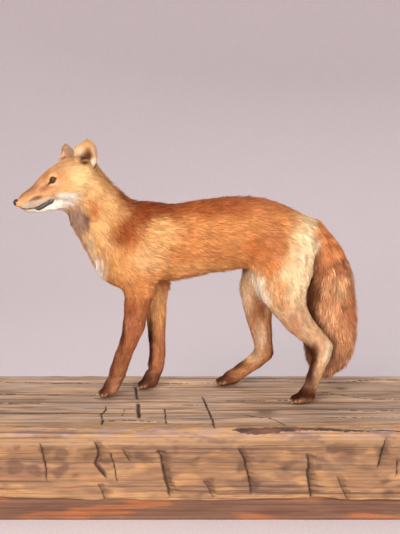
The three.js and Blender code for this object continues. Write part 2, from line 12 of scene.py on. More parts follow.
import bpy
import numpy as np
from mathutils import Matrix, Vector
from mathutils.bvhtree import BVHTree

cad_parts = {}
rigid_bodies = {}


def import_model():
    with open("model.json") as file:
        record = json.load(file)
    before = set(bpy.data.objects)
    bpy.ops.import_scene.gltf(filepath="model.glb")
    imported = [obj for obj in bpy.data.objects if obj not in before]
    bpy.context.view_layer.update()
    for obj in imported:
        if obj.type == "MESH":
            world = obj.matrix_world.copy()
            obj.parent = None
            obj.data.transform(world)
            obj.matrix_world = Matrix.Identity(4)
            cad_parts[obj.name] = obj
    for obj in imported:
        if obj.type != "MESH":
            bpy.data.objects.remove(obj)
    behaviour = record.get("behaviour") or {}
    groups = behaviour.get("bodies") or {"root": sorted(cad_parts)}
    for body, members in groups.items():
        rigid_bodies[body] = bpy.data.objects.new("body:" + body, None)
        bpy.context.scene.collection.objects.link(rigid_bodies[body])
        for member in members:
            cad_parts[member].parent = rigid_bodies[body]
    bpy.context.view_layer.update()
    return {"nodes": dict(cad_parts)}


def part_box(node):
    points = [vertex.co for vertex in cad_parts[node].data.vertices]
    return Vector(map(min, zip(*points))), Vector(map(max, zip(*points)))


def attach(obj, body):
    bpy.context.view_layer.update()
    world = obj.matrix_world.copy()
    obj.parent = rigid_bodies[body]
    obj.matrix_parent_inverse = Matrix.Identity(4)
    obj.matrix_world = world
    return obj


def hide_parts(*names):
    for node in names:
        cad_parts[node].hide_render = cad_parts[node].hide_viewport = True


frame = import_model()
SEED = 7
rng = np.random.default_rng(SEED)
print("nodes:", len(frame["nodes"]))

# %% [markdown]
# ## The fox's own measures
# All sizes of the fox are in millimetres, from a point on the timber's top under its spine: x runs to
# the tail, y to its right side and z up. The head is turned a little to the left and tilted, so it has
# measures of its own: u from the tip of the nose to the nape, s to the fox's left and w up.

# %% The fox's own measures
timber_low, timber_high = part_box("base_timber")
SPINE_BEHIND_FRONT = 222.0
ORIGIN = np.array([0.0, timber_low.y * 1000 + SPINE_BEHIND_FRONT, timber_high.z * 1000])
HEAD_PITCH = math.radians(22.8)
HEAD_YAW = math.radians(12)
NOSE_TIP = np.array([-370.5, -35.0, 404.5])
BACKWARDS = np.array(
    [
        math.cos(HEAD_PITCH) * math.cos(HEAD_YAW),
        math.cos(HEAD_PITCH) * math.sin(HEAD_YAW),
        math.sin(HEAD_PITCH),
    ]
)
LEFTWARDS = np.array([math.sin(HEAD_YAW), -math.cos(HEAD_YAW), 0.0])
UPWARDS = np.cross(LEFTWARDS, BACKWARDS)
HEAD_AXES = np.array([BACKWARDS, LEFTWARDS, UPWARDS])


def to_head(points):
    """Fox measures to head measures (u, s, w)."""
    return (np.asarray(points, float) - NOSE_TIP) @ HEAD_AXES.T


def from_head(points):
    return np.asarray(points, float) @ HEAD_AXES + NOSE_TIP


def to_metres(points):
    return (np.asarray(points, float) + ORIGIN) / 1000


def to_fox(points):
    return np.asarray(points, float) * 1000 - ORIGIN


print("spine over the timber at", to_metres([0, 0, 0]).round(4))

# %% [markdown]
# ## Meshes from numbers
# A piece can be made with Blender's operators or from lists of points and faces. Lists are used here,
# because thousands of small hairs are quick to work out together and slow to make one at a time.

# %% Meshes from numbers
def add_piece(name, points_m, faces, smooth=True):
    """A mesh object from points in metres and an array, or a list, of faces."""
    mesh = bpy.data.meshes.new(name)
    if isinstance(faces, np.ndarray):
        count, sides = faces.shape
        mesh.vertices.add(len(points_m))
        mesh.vertices.foreach_set("co", np.asarray(points_m, np.float32).ravel())
        mesh.loops.add(count * sides)
        mesh.loops.foreach_set("vertex_index", faces.astype(np.int32).ravel())
        mesh.polygons.add(count)
        mesh.polygons.foreach_set("loop_start", np.arange(0, count * sides, sides, dtype=np.int32))
        mesh.update(calc_edges=True)
    else:
        mesh.from_pydata([tuple(p) for p in points_m], [], faces)
    mesh.polygons.foreach_set("use_smooth", np.full(len(mesh.polygons), smooth))
    piece = bpy.data.objects.new(name, mesh)
    bpy.context.scene.collection.objects.link(piece)
    return piece


def points_of(piece):
    flat = np.empty(len(piece.data.vertices) * 3, np.float32)
    piece.data.vertices.foreach_get("co", flat)
    return flat.reshape(-1, 3).astype(float)


def normals_of(piece):
    flat = np.empty(len(piece.data.vertices) * 3, np.float32)
    piece.data.vertex_normals.foreach_get("vector", flat)
    return flat.reshape(-1, 3).astype(float)


def set_points(piece, points_m):
    piece.data.vertices.foreach_set("co", np.asarray(points_m, np.float32).ravel())
    piece.data.update()


def apply_modifiers(piece):
    """Keeps what the piece's modifiers make of it as its own mesh."""
    view = bpy.context.evaluated_depsgraph_get()
    mesh = bpy.data.meshes.new_from_object(piece.evaluated_get(view))
    old = piece.data
    piece.modifiers.clear()
    piece.data = mesh
    bpy.data.meshes.remove(old)


# %% [markdown]
# ## Values on the points, and finishing a piece
# A mesh can store a number or a colour at each point, as an attribute, and its material reads that by
# name. It paints a piece without a picture. Each finished piece then gets its material, rides on the
# root body, and hides the imported nodes that it stands for.

# %% Values on the points, and finishing a piece
def add_attribute(piece, name, values, kind="FLOAT"):
    """Stores one value, or one colour, for each point."""
    layer = piece.data.attributes.new(name, kind, "POINT")
    field = "value"
    if kind == "FLOAT_COLOR":
        field = "color"
        values = np.concatenate([values, np.ones((len(values), 1))], axis=1)
    layer.data.foreach_set(field, values.astype(np.float32).ravel())


def finish_piece(piece, material, slot, *nodes):
    """Gives a piece its material, sets it on the root body and hides the nodes it stands for; the slot is not
    used.
    """
    piece.data.materials.clear()
    piece.data.materials.append(material)
    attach(piece, "root")
    if nodes:
        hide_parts(*nodes)
    print(f"{piece.name}: {len(piece.data.polygons)} faces")


# %% [markdown]
# ## Writing materials as sums
# A material is a graph of nodes. Wiring each Math node by hand hides the idea, so a small class wraps
# a socket, and the usual signs then add the nodes: `1 - mask` makes a Subtract node. Only sums on
# single values are written so, because a Math node turns a colour grey.

# %% Writing materials as sums
class Value:
    """A socket of a material's graph that can be added, multiplied and so on."""

    def __init__(self, graph, socket):
        self.graph, self.socket = graph, socket

    def _math(self, operation, *others):
        inputs = dict(enumerate((self, *others)))
        return self.graph.node("ShaderNodeMath", inputs, operation=operation)

    def __add__(self, other):
        return self._math("ADD", other)

    def __mul__(self, other):
        return self._math("MULTIPLY", other)

    def __sub__(self, other):
        return self._math("SUBTRACT", other)

    def __rsub__(self, other):
        return self.graph.node("ShaderNodeMath", {0: other, 1: self}, operation="SUBTRACT")

    __radd__, __rmul__ = __add__, __mul__

    def between(self, low, high):
        """0 below low and 1 above high, with a soft step."""
        inputs = {"Value": self, "From Min": low, "From Max": high}
        return self.graph.node("ShaderNodeMapRange", inputs, interpolation_type="SMOOTHSTEP")


# %% [markdown]
# ## A material's graph
# One method adds any node, from its type, its settings and the values or links of its sockets. A few
# short ones name what is used again and again: noise, a mix of two colours, a value read from the
# mesh, and a bump.

# %% A material's graph
class Graph:
    """A new material, with its one shader."""

    def __init__(self, name, **shader):
        self.material = bpy.data.materials.new(name)
        self.material.use_nodes = True
        self.tree = self.material.node_tree
        self.shader = self.tree.nodes["Principled BSDF"]
        for socket, value in shader.items():
            self.shader.inputs[socket.replace("_", " ")].default_value = value

    def node(self, kind, inputs=None, output=0, stops=None, **settings):
        """Adds a node: its settings first, then the values or links of its sockets."""
        made = self.tree.nodes.new(kind)
        for setting, value in settings.items():
            setattr(made, setting, value)
        if stops:
            ramp = made.color_ramp.elements
            while len(ramp) < len(stops):
                ramp.new(0.5)
            for element, (position, color) in zip(ramp, stops):
                element.position, element.color = position, (*color, 1)
        for socket, value in (inputs or {}).items():
            self.feed(made.inputs[socket], value)
        return Value(self, made.outputs[output])

    def feed(self, socket, value):
        if isinstance(value, Value):
            self.tree.links.new(value.socket, socket)
        elif value is not None:
            socket.default_value = (*value, 1) if socket.type == "RGBA" else value

    def set(self, **inputs):
        for socket, value in inputs.items():
            self.feed(self.shader.inputs[socket.replace("_", " ")], value)
        return self.material

    def place(self, scale=(1, 1, 1)):
        """The point being shaded, in metres, stretched along each axis."""
        where = self.node("ShaderNodeTexCoord", output="Object")
        return self.node("ShaderNodeMapping", {"Vector": where, "Scale": scale})

    def noise(self, scale, detail=3, where=None, roughness=0.55, distortion=0.0):
        inputs = {"Scale": scale, "Detail": detail, "Roughness": roughness, "Distortion": distortion}
        inputs["Vector"] = where if where is not None else self.place()
        return self.node("ShaderNodeTexNoise", inputs)

    def mix(self, amount, first, second, blend="MIX"):
        inputs = {"Factor": amount, 6: first, 7: second}
        return self.node("ShaderNodeMix", inputs, output=2, data_type="RGBA", blend_type=blend)

    def shade(self, color, factor):
        """A colour made darker or lighter by a factor near 1."""
        grey = self.node("ShaderNodeCombineColor", {0: factor, 1: factor, 2: factor})
        return self.mix(1.0, color, grey, "MULTIPLY")

    def stored(self, name, color=False):
        return self.node("ShaderNodeAttribute", output=0 if color else 2, attribute_name=name)

    def bump(self, height, strength, distance=0.001):
        return self.node("ShaderNodeBump", {"Height": height, "Strength": strength, "Distance": distance})


# %% [markdown]
# ## Colours as on a paint chart
# A paint chart gives red, green and blue from 0 to 255, on a scale made for the eye. The shader counts
# light, so each share is bent by the standard curve between the two.

# %% Colours as on a paint chart
def tint(red, green, blue):
    """A colour from a paint chart, as the light that it gives back."""
    share = np.array([red, green, blue], float) / 255
    return tuple(np.where(share <= 0.04045, share / 12.92, ((share + 0.055) / 1.055) ** 2.4))


print("half bright on the chart is", round(float(tint(128, 128, 128)[0]), 3), "of the light")

# %% [markdown]
# ## What is flesh
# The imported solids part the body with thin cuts. Each solid of flesh is first grown a little, so that
# the cuts close, and a few hidden balls fill the deeper gaps, as clay does on a form.

# %% What is flesh
BARE = ("nose", "eye_left", "eye_right", "base_timber")
FLESH = sorted(set(frame["nodes"]) - set(BARE))
GROWN = {name: 4.0 for name in FLESH}
GROWN.update({name: 0.5 for name in FLESH if "paw" in name or "ear_" in name})
GROWN.update({name: 1.5 for name in FLESH if "leg_" in name or "shank" in name})
GROWN.update(head=0.6, lower_jaw=0.6, thigh_left=3.0, thigh_right=3.0)
FILLING = [
    # x, y, z, radius
    (165, -5, 296, 30),
    (-234, -33, 463, 13),
    (-268, 20, 455, 12),
    (-256, -8, 474, 12),
    (-105, 0, 262, 30),
    (-168, -22, 268, 26),
    (210, -4, 342, 28),
    (236, -2, 328, 26),
    (256, 3, 300, 24),
    (221, -12, 348, 20),
    (-181, -26, 284, 21),
    (232, -6, 292, 15),
    (230, -4, 264, 15),
    (234, 0, 236, 14),
    (240, 4, 210, 14),
    (219, 2, 118, 14),
    (223, 2, 146, 14),
    (223, 3, 94, 12),
]
print("solids of flesh:", len(FLESH), "and balls of filling:", len(FILLING))

# %% [markdown]
# ## The flesh in one mesh
# The solids are welded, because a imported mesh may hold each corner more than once, and grown along
# their normals. A list beside them says which solid each triangle came from: it is needed later, to
# know the neck's skin from the trunk's.

# %% The flesh in one mesh
def flesh_mesh():
    """Every node of flesh in one mesh, in fox measures, with the number of each face's node."""
    points, faces, owner = [], [], []
    for number, name in enumerate(FLESH):
        mesh = frame["nodes"][name].data.copy()
        solid = bpy.data.objects.new("solid", mesh)
        weld = solid.modifiers.new("weld", "WELD")
        weld.merge_threshold = 1e-6
        bpy.context.scene.collection.objects.link(solid)
        apply_modifiers(solid)
        solid.data.update()
        start = sum(len(p) for p in points)
        points.append(to_fox(points_of(solid)) + normals_of(solid) * GROWN[name])
        corners = np.empty(len(solid.data.loops), np.int32)
        solid.data.loops.foreach_get("vertex_index", corners)
        faces.append(corners.reshape(-1, 3) + start)
        owner.append(np.full(len(faces[-1]), number))
        bpy.data.objects.remove(solid)
    return np.concatenate(points), np.concatenate(faces), np.concatenate(owner)


def ball(centre, radius, rings=10, segments=16):
    """The points and triangles of a plain ball."""
    points = [(0, 0, 1)]
    for i in range(1, rings):
        tilt = math.pi * i / rings
        for j in range(segments):
            turn = 2 * math.pi * j / segments
            points.append((math.sin(tilt) * math.cos(turn), math.sin(tilt) * math.sin(turn), math.cos(tilt)))
    points.append((0, 0, -1))
    faces = []
    for j in range(segments):
        k = (j + 1) % segments
        faces.append((0, 1 + j, 1 + k))
        for i in range(rings - 2):
            a, b = 1 + i * segments, 1 + (i + 1) * segments
            faces += [(a + j, b + j, b + k), (a + j, b + k, a + k)]
        last = 1 + (rings - 2) * segments
        faces.append((last + k, last + j, len(points) - 1))
    return np.array(points) * radius + np.array(centre), np.array(faces)


flesh_points, flesh_faces, flesh_owner = flesh_mesh()
print("triangles of flesh:", len(flesh_faces))

# %% [markdown]
# ## The flesh becomes one skin
# The solids could be joined one by one with booleans, which often fail where faces nearly touch. A
# voxel remesh looks only at what is inside and what is outside, so it draws one closed surface round
# them all, with no seam. Its small steps are smoothed away afterwards.

# %% The flesh becomes one skin
VOXEL = 2.2
whole_points, whole_faces = flesh_points, flesh_faces
for x, y, z, radius in FILLING:
    more_points, more_faces = ball((x, y, z), radius)
    whole_faces = np.concatenate([whole_faces, more_faces + len(whole_points)])
    whole_points = np.concatenate([whole_points, more_points])
skin = add_piece("skin", to_metres(whole_points), whole_faces)
remesh = skin.modifiers.new("remesh", "REMESH")
remesh.mode = "VOXEL"
remesh.voxel_size = VOXEL / 1000
apply_modifiers(skin)
print("skin before smoothing:", len(skin.data.vertices), "points")

# %% [markdown]
# ## Neighbours
# Smoothing, and spreading a value evenly over the body, both take the mean of each point's
# neighbours. The list of edges gives every point's neighbours at once.

# %% Neighbours
edge_ends = np.empty(len(skin.data.edges) * 2, np.int32)
skin.data.edges.foreach_get("vertices", edge_ends)
edge_ends = edge_ends.reshape(-1, 2)
skin_count = len(skin.data.vertices)
degree = np.bincount(edge_ends.ravel(), minlength=skin_count)


def neighbour_mean(values):
    columns = values.reshape(skin_count, -1).T
    a, b = edge_ends.T
    sums = [np.bincount(a, c[b], skin_count) + np.bincount(b, c[a], skin_count) for c in columns]
    return (np.array(sums) / degree).T.reshape(values.shape)


def spread(values, rounds):
    """Lets each value run out into its neighbours, once a round."""
    for _ in range(rounds):
        values = neighbour_mean(values)
    return values


PULL_IN, LET_OUT = 0.55, 0.57


def smoothed(points, rounds, strength):
    """Smooths without shrinking: each round pulls in, and then lets out a little more."""
    for _ in range(rounds):
        points = points + PULL_IN * strength * (neighbour_mean(points) - points)
        points = points - LET_OUT * strength * (neighbour_mean(points) - points)
    return points


def soft_noise(points, scale, seed):
    """A smooth value from -1 to 1 that changes over about one scale, from a few waves."""
    waves = np.random.default_rng(seed)
    total = np.zeros(len(points))
    for _ in range(6):
        way = waves.normal(size=3)
        way /= np.linalg.norm(way)
        pitch = 2 * math.pi / (scale * waves.uniform(0.7, 1.5))
        total += np.sin(points @ way * pitch + waves.uniform(0, 6.28))
    return total / 3


print("neighbours of a point:", degree.min(), "to", degree.max())

# %% [markdown]
# ## Which node each point belongs to
# The remesh forgets where each solid was. For each point of the skin the nearest triangle of the flesh
# is looked up in a search tree, and its solid gives the point its name. Tables of colour, coat and
# flow can then be written by the names of the parts.

# %% Which node each point belongs to
def tree_of(points, faces):
    return BVHTree.FromPolygons([Vector(p) for p in points], [tuple(map(int, f)) for f in faces])


skin_points = to_fox(points_of(skin))
flesh_tree = tree_of(flesh_points, flesh_faces)
nearest_face = [flesh_tree.find_nearest(Vector(p))[2] for p in skin_points]
skin_node = flesh_owner[np.array(nearest_face)]
NODE = {name: number for number, name in enumerate(FLESH)}
print("points by node:", {n: int((skin_node == i).sum()) for n, i in NODE.items()})


def row_of(table, name):
    """A node's row: a name without a side stands for the left and the right one."""
    return table[name] if name in table else table[name.rsplit("_", 1)[0]]


def per_node(table):
    """One row of a table for each point, by its node."""
    return np.array([row_of(table, name) for name in FLESH], float)[skin_node]


def on(*names):
    """1 on the named nodes and 0 elsewhere."""
    return np.isin(skin_node, [NODE[n] for n in names]).astype(float)


# %% [markdown]
# ## Smoothing the facets
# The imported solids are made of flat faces, and skin has none. Long rounds of smoothing take them out
# of the body and legs. The head and the paws get only a few rounds, or they would lose their form.

# %% Smoothing the facets
body_share = spread(1 - on("head", "lower_jaw", "ear_left", "ear_right"), 12)
paw_share = spread(on("forepaw_left", "forepaw_right", "hindpaw_left", "hindpaw_right"), 8)
strength = np.clip(body_share * (1 - paw_share), 0, 1)[:, None]
skin_points = smoothed(skin_points, 70, strength)
skin_points = smoothed(skin_points, 10, np.ones_like(strength))
big = spread(on("trunk", "neck", "thigh_left", "thigh_right", "tail_root", "tail_brush"), 10)[:, None]
skin_points = skin_points + big * (spread(skin_points, 30) - skin_points)
skin_points[:, 2] = np.maximum(skin_points[:, 2], 0.4)
set_points(skin, to_metres(skin_points))
print("smoothed", skin_count, "points; the lowest is at", skin_points[:, 2].min().round(2), "mm")

# %% [markdown]
# ## Where the eyes sit
# A glass eye is set deep, and the skin is drawn over its edge, so that only an almond of it shows.
# Its centre and the way it looks are needed early, because the skin around it is shaped to it.

# %% Where the eyes sit
EYE_CENTRE = (91.0, 21.6, 12.2)
EYE_RADIUS = 9.0
GAZE = np.array([-0.2, 0.96, 0.16])
GAZE /= np.linalg.norm(GAZE)


def eye_frame(side):
    """The centre of one eye, the way it looks, and its upright and level axes, in fox measures."""
    mirror = np.array([1, side, 1])
    centre = from_head(np.array(EYE_CENTRE) * mirror)
    look = (GAZE * mirror) @ HEAD_AXES
    level = np.cross(look, UPWARDS) * side
    level /= np.linalg.norm(level)
    upright = np.cross(level, look) * side
    return centre, look, level, upright / np.linalg.norm(upright)


print("eyes at", eye_frame(1)[0].round(1), eye_frame(-1)[0].round(1))

# %% [markdown]
# ## The coat's table
# Each part of the body has its own coat: how deep it is, how long a tuft is, how broad, and how far
# apart the tufts stand, all in millimetres. The skin is then drawn inwards by the coat's depth, so
# that the tips of the hair end where the body's true outline is.

# %% The coat's table
COAT = {
    # depth, length, breadth, spacing
    "head": (2.2, 9, 1.0, 1.2),
    "lower_jaw": (2.0, 6.5, 0.85, 1.1),
    "ear": (0.6, 7.5, 0.8, 1.05),
    "neck": (6.5, 20, 1.7, 1.85),
    "trunk": (6.5, 23, 1.8, 1.95),
    "thigh": (4.8, 17, 1.6, 1.8),
    "shank": (3.0, 11, 1.25, 1.6),
    "foreleg": (2.8, 10, 1.2, 1.6),
    "forepaw": (1.4, 5.5, 0.95, 1.25),
    "hindpaw": (1.4, 5.5, 0.95, 1.25),
    "tail_root": (6.0, 24, 1.9, 2.0),
    "tail_brush": (9.5, 29, 1.8, 2.08),
}
LEG_COAT = (3.2, 12, 1.3, 1.8)
MUZZLE_COAT = (1.3, 4.6, 0.75, 1.0)
CHEEK_COAT = (4.2, 14, 1.2, 1.35)
LID_COAT, LID_REACH = (0.5, 3.6, 0.7, 0.95), 16
coat = per_node(COAT)
x, y, z = skin_points.T
u, s, w = to_head(skin_points).T
on_head = on("head", "lower_jaw")
elbow = on("trunk") * np.clip((292 - z) / 60, 0, 1) * np.clip((-66 - x) / 34, 0, 1)
knee = on("thigh_left", "thigh_right") * np.clip((238 - z) / 60, 0, 1)
coat += np.maximum(elbow, knee)[:, None] * (np.array(LEG_COAT) - coat)
muzzle = on_head * np.clip((78 - u) / 30, 0, 1)
cheek = on_head * np.clip((u - 70) / 35, 0, 1) * np.clip((8 - w) / 22, 0, 1)
coat += muzzle[:, None] * (np.array(MUZZLE_COAT) - coat)
coat += cheek[:, None] * (np.array(CHEEK_COAT) - coat)
coat = spread(coat, 60)
coat += spread(muzzle, 6)[:, None] * (np.array(MUZZLE_COAT) - coat)
coat += spread(on("ear_left", "ear_right"), 4)[:, None] * (np.array(COAT["ear"]) - coat)
for side in (1, -1):
    from_eye = np.linalg.norm(skin_points - eye_frame(side)[0], axis=1)
    coat += np.exp(-((from_eye / LID_REACH) ** 6))[:, None] * (np.array(LID_COAT) - coat)
print("tufts from", coat[:, 1].min().round(1), "to", coat[:, 1].max().round(1), "mm long")

# %% [markdown]
# ## Drawing the skin in
# Hair adds to an animal's outline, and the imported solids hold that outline. So the skin goes inwards,
# along its normals, by what the solids were grown and then by the coat's depth.

# %% Drawing the skin in
def onto_line(points, line):
    """For each point, the nearest place on a line of points, how far along it is and how far away."""
    best = np.full(len(points), np.inf)
    foot = np.zeros((len(points), 3))
    along = np.zeros(len(points))
    for i in range(len(line) - 1):
        run = line[i + 1] - line[i]
        t = np.clip((points - line[i]) @ run / (run @ run), 0, 1)
        place = line[i] + t[:, None] * run
        away = np.linalg.norm(points - place, axis=1)
        nearer = away < best
        best[nearer], foot[nearer], along[nearer] = away[nearer], place[nearer], (i + t)[nearer]
    return foot, along / (len(line) - 1), best


skin_normals = normals_of(skin)
grown = spread(per_node(GROWN), 6)[:, None]
outer_points = skin_points - skin_normals * grown
skin_points = outer_points - skin_normals * coat[:, :1]
skin_points = smoothed(skin_points, 6, np.ones((skin_count, 1)) * (1 - paw_share[:, None]) * 0.8)
depth = np.linalg.norm(outer_points - skin_points, axis=1)
set_points(skin, to_metres(skin_points))
print("coat depth:", depth.min().round(1), "to", depth.max().round(1), "mm")

# %% [markdown]
# ## Carving the face
# The face is carved with soft rounded tools: each one pushes the skin out, or in, around one place in
# the head's measures. A few named ones give the brow, the cheek bone, the whisker pads and the hollow
# under the eye. Sculpting by hand would do as well, but couldn't be repeated from a script.

# %% Carving the face
FACE_TOOLS = [
    # what, u, s, w, reach, push
    ("brow", 97, 25, 26, 10, 2.0),
    ("cheek bone", 101, 34, 0, 14, 1.6),
    ("hollow before the eye", 72, 21, 8, 9, -1.4),
    ("whisker pad", 22, 13, -14, 10, 1.3),
    ("side of the muzzle", 48, 18, 0, 14, -0.8),
    ("bridge of the nose", 30, 0, 10, 12, 0.5),
    ("forehead furrow", 88, 0, 30, 9, -1.2),
    ("below the eye", 88, 31, -2, 8, -0.8),
]
u, s, w = to_head(skin_points).T
skin_normals = normals_of(skin)
push = np.zeros(skin_count)
for _, tool_u, tool_s, tool_w, reach, amount in FACE_TOOLS:
    away = (u - tool_u) ** 2 + (np.abs(s) - tool_s) ** 2 + (w - tool_w) ** 2
    push += amount * np.exp(-away / (2 * (reach / 1.6) ** 2))
corner_away = ((u - 81) / 6) ** 2 + ((np.abs(s) - 22) / 8) ** 2 + ((w - 8.6) / 4) ** 2
CORNER_DEPTH, NAPE = 1.8, 170
push -= CORNER_DEPTH * np.exp(-corner_away)
push *= np.clip((NAPE - u) / 30, 0, 1)
print("face pushed from", push.min().round(2), "to", push.max().round(2), "mm")

# %% [markdown]
# ## The gaps between the toes
# A fox stands on four toes a foot, set in an even row. Three grooves part them, deep over the toes and
# fading towards the wrist.

# %% The gaps between the toes
PAWS = {
    # toe end, middle, half breadth
    "forepaw_left": (-214, -29, 15.5),
    "forepaw_right": (-137, 26, 15.5),
    "hindpaw_left": (179, -67, 14.5),
    "hindpaw_right": (30, 50, 14.5),
}
TOE_RADIUS = 7.6
GAP_DEPTH, GAP_HALF_WIDTH, INSTEP = 3.4, 2.3, 24
OUTER_TOE = {paw: broad - 0.35 * TOE_RADIUS for paw, (_, _, broad) in PAWS.items()}
toe_gaps = []
for paw, (toe, middle, _) in PAWS.items():
    toe_gaps += [(toe, middle + step * OUTER_TOE[paw]) for step in (-2 / 3, 0, 2 / 3)]
for toe, gap in toe_gaps:
    ahead = np.clip((toe + 38 - skin_points[:, 0]) / 14, 0, 1) * (skin_points[:, 0] > toe - 4)
    groove = np.exp(-(((skin_points[:, 1] - gap) / GAP_HALF_WIDTH) ** 2))
    push -= GAP_DEPTH * groove * ahead * (skin_points[:, 2] < INSTEP)
print("gaps between toes:", len(toe_gaps))

# %% [markdown]
# ## The slit of the mouth
# The closed mouth is a narrow groove along a line. It is given for the left side, and the distance
# from the middle of the face serves for both.

# %% The slit of the mouth
MOUTH_LINE = np.array(
    [
        (6, 0, -19),
        (9, 6, -18.5),
        (15, 10, -18.5),
        (24, 12.5, -22.5),
        (40, 15, -26),
        (54, 17, -24.5),
        (66, 19, -23),
        (76, 20.5, -21.5),
    ]
)
LIP_LINE = np.array([(44, 15.5, -28), (54, 17, -27.5), (66, 19, -26), (73, 20, -24)])
SLIT_DEPTH, SLIT_HALF_WIDTH = 1.7, 1.6
_, _, mouth_away = onto_line(np.stack([u, np.abs(s), w], axis=1), MOUTH_LINE)
on_muzzle = np.clip((84 - u) / 6, 0, 1)
push -= SLIT_DEPTH * np.exp(-((mouth_away / SLIT_HALF_WIDTH) ** 2)) * on_muzzle
skin_points = skin_points + skin_normals * push[:, None]
print("carved:", push.min().round(2), "to", push.max().round(2), "mm")

# %% [markdown]
# ## Skin over the glass
# Round the eye the skin is seen from the ball's centre: each point has a distance, and an angle from
# the way the eye looks. Points at the rim are turned closer to it and lifted clear of the glass.

# %% Skin over the glass
for side in (1, -1):
    centre, look, _, _ = eye_frame(side)
    ray = skin_points - centre
    reach = np.linalg.norm(ray, axis=1)
    ray /= reach[:, None]
    aside = ray - (ray @ look)[:, None] * look
    off_axis = np.arccos(np.clip(ray @ look, -1, 1))
    aside /= np.sin(off_axis)[:, None] + 1e-9
    near = np.clip((17 - reach) / 5, 0, 1)
    closer = off_axis - near * 0.5 * np.exp(-(((off_axis - 1.3) / 0.38) ** 2))
    lifted = reach + near * np.clip(EYE_RADIUS + 0.9 - reach, 0, None) * np.clip((1.7 - off_axis) / 0.3, 0, 1)
    moved = centre + (np.cos(closer)[:, None] * look + np.sin(closer)[:, None] * aside) * lifted[:, None]
    skin_points = np.where((near > 0)[:, None], moved, skin_points)
    print("points drawn over an eye:", int((near > 0).sum()))
set_points(skin, to_metres(skin_points))
skin_normals = normals_of(skin)

# %% [markdown]
# ## The ground colours
# A fox's pattern has soft edges, like airbrush work. It could be a picture wrapped round the body, but
# soft spots of colour set in space need no unwrapping. Each node first has a ground colour.

# %% The ground colours
GROUND = {
    "head": (238, 178, 122),
    "lower_jaw": (240, 226, 206),
    "ear_left": (205, 140, 88),
    "ear_right": (228, 180, 140),
    "neck": (226, 168, 108),
    "trunk": (214, 140, 82),
    "thigh": (216, 156, 104),
    "shank_left": (228, 180, 138),
    "shank_right": (206, 140, 92),
    "foreleg_left": (194, 120, 80),
    "foreleg_right": (206, 132, 90),
    "forepaw_left": (138, 84, 62),
    "forepaw_right": (130, 80, 56),
    "hindpaw_left": (98, 48, 26),
    "hindpaw_right": (130, 78, 52),
    "tail_root": (226, 146, 92),
    "tail_brush": (222, 156, 108),
}
ground = spread(np.array([tint(*row_of(GROUND, name)) for name in FLESH])[skin_node], 30)
print("mean ground colour:", ground.mean(0).round(3))

# %% [markdown]
# ## Marks on the body
# Each mark is a soft-edged ellipsoid of another colour, laid over the ground in turn. The same list
# paints the skin and the tufts, so that they always agree.

# %% Marks on the body
BODY_MARKS = [
    # name, colour, centre, radii, strength; two numbers, x and z, go right through the body
    ("saddle", (176, 92, 46), (30, 0, 432), (230, 90, 52), 0.85),
    ("loin", (190, 116, 78), (90, 0, 424), (90, 90, 50), 0.5),
    ("flank", (206, 134, 78), (0, 318), (150, 46), 0.6),
    ("low flank", (238, 170, 104), (-10, 268), (120, 24), 0.7),
    ("belly edge", (214, 140, 84), (20, 246), (130, 12), 0.6),
    ("back band", (172, 90, 46), (-20, 398), (120, 20), 0.8),
    ("withers", (146, 70, 38), (-110, 0, 402), (60, 84, 24), 0.95),
    ("crest", (158, 74, 36), (-158, 0, 424), (36, 22, 26), 0.85),
    ("crest high", (180, 108, 66), (-186, 0, 458), (26, 22, 32), 0.6),
    ("neck side", (240, 186, 122), (-204, 380), (44, 50), 0.85),
    ("neck side high", (242, 188, 124), (-214, 424), (30, 44), 0.7),
    ("shoulder wedge", (160, 84, 42), (-146, 364), (34, 26), 0.95),
    ("shoulder wedge top", (150, 72, 34), (-122, 390), (34, 16), 0.9),
    ("shoulder wedge low", (162, 84, 42), (-160, 352), (32, 22), 0.9),
    ("shoulder wedge rear", (196, 112, 58), (-122, 336), (34, 15), 0.6),
    ("pale behind the wedge", (238, 184, 120), (-90, 352), (40, 32), 0.7),
    ("throat", (172, 140, 124), (-252, 382), (28, 32), 0.85),
    ("throat dark", (108, 74, 58), (-232, 380), (11, 20), 0.8),
    ("throat low", (206, 166, 138), (-236, 0, 334), (24, 60, 32), 0.6),
    ("orange by the throat", (208, 116, 58), (-214, 400), (13, 22), 0.8),
    ("chest front high", (248, 216, 174), (-226, 320), (12, 34), 0.55),
    ("chest front", (255, 244, 226), (-208, 279), (17, 28), 1.0),
    ("wedge border", (200, 128, 72), (-177, 368), (14, 26), 0.7),
    ("chest", (230, 166, 102), (-168, 288), (44, 40), 0.7),
    ("upper arm", (240, 190, 132), (-112, 300), (36, 38), 0.65),
    ("elbow", (216, 140, 82), (-112, 250), (40, 26), 0.6),
    ("armpit", (206, 140, 92), (-82, 240), (14, 14), 0.5),
    ("flank orange", (208, 114, 56), (104, 322), (32, 28), 0.75),
    ("haunch", (190, 118, 72), (146, 330), (56, 46), 0.85),
    ("haunch blend", (230, 170, 106), (186, 320), (34, 62), 0.6),
    ("rump", (250, 220, 170), (220, 338), (50, 74), 0.85),
    ("buttock", (254, 224, 178), (222, 284), (54, 66), 0.85),
    ("thigh", (248, 210, 162), (194, 250), (60, 66), 0.85),
    ("thigh front", (214, 140, 90), (160, -60, 226), (14, 60, 40), 0.5),
    ("thigh stripe high", (214, 130, 72), (134, 286), (18, 26), 0.7),
    ("thigh stripe", (228, 158, 98), (150, 248), (14, 32), 0.55),
    ("thigh stripe low", (226, 164, 114), (174, 200), (16, 30), 0.6),
    ("fold high", (255, 234, 200), (97, 264), (9, 13), 0.7),
    ("fold", (255, 238, 208), (114, 250), (12, 26), 0.9),
    ("fold low", (255, 234, 202), (127, 216), (12, 26), 0.9),
    ("fold end", (254, 226, 186), (145, 186), (13, 22), 0.8),
]
print("marks on the body:", len(BODY_MARKS))
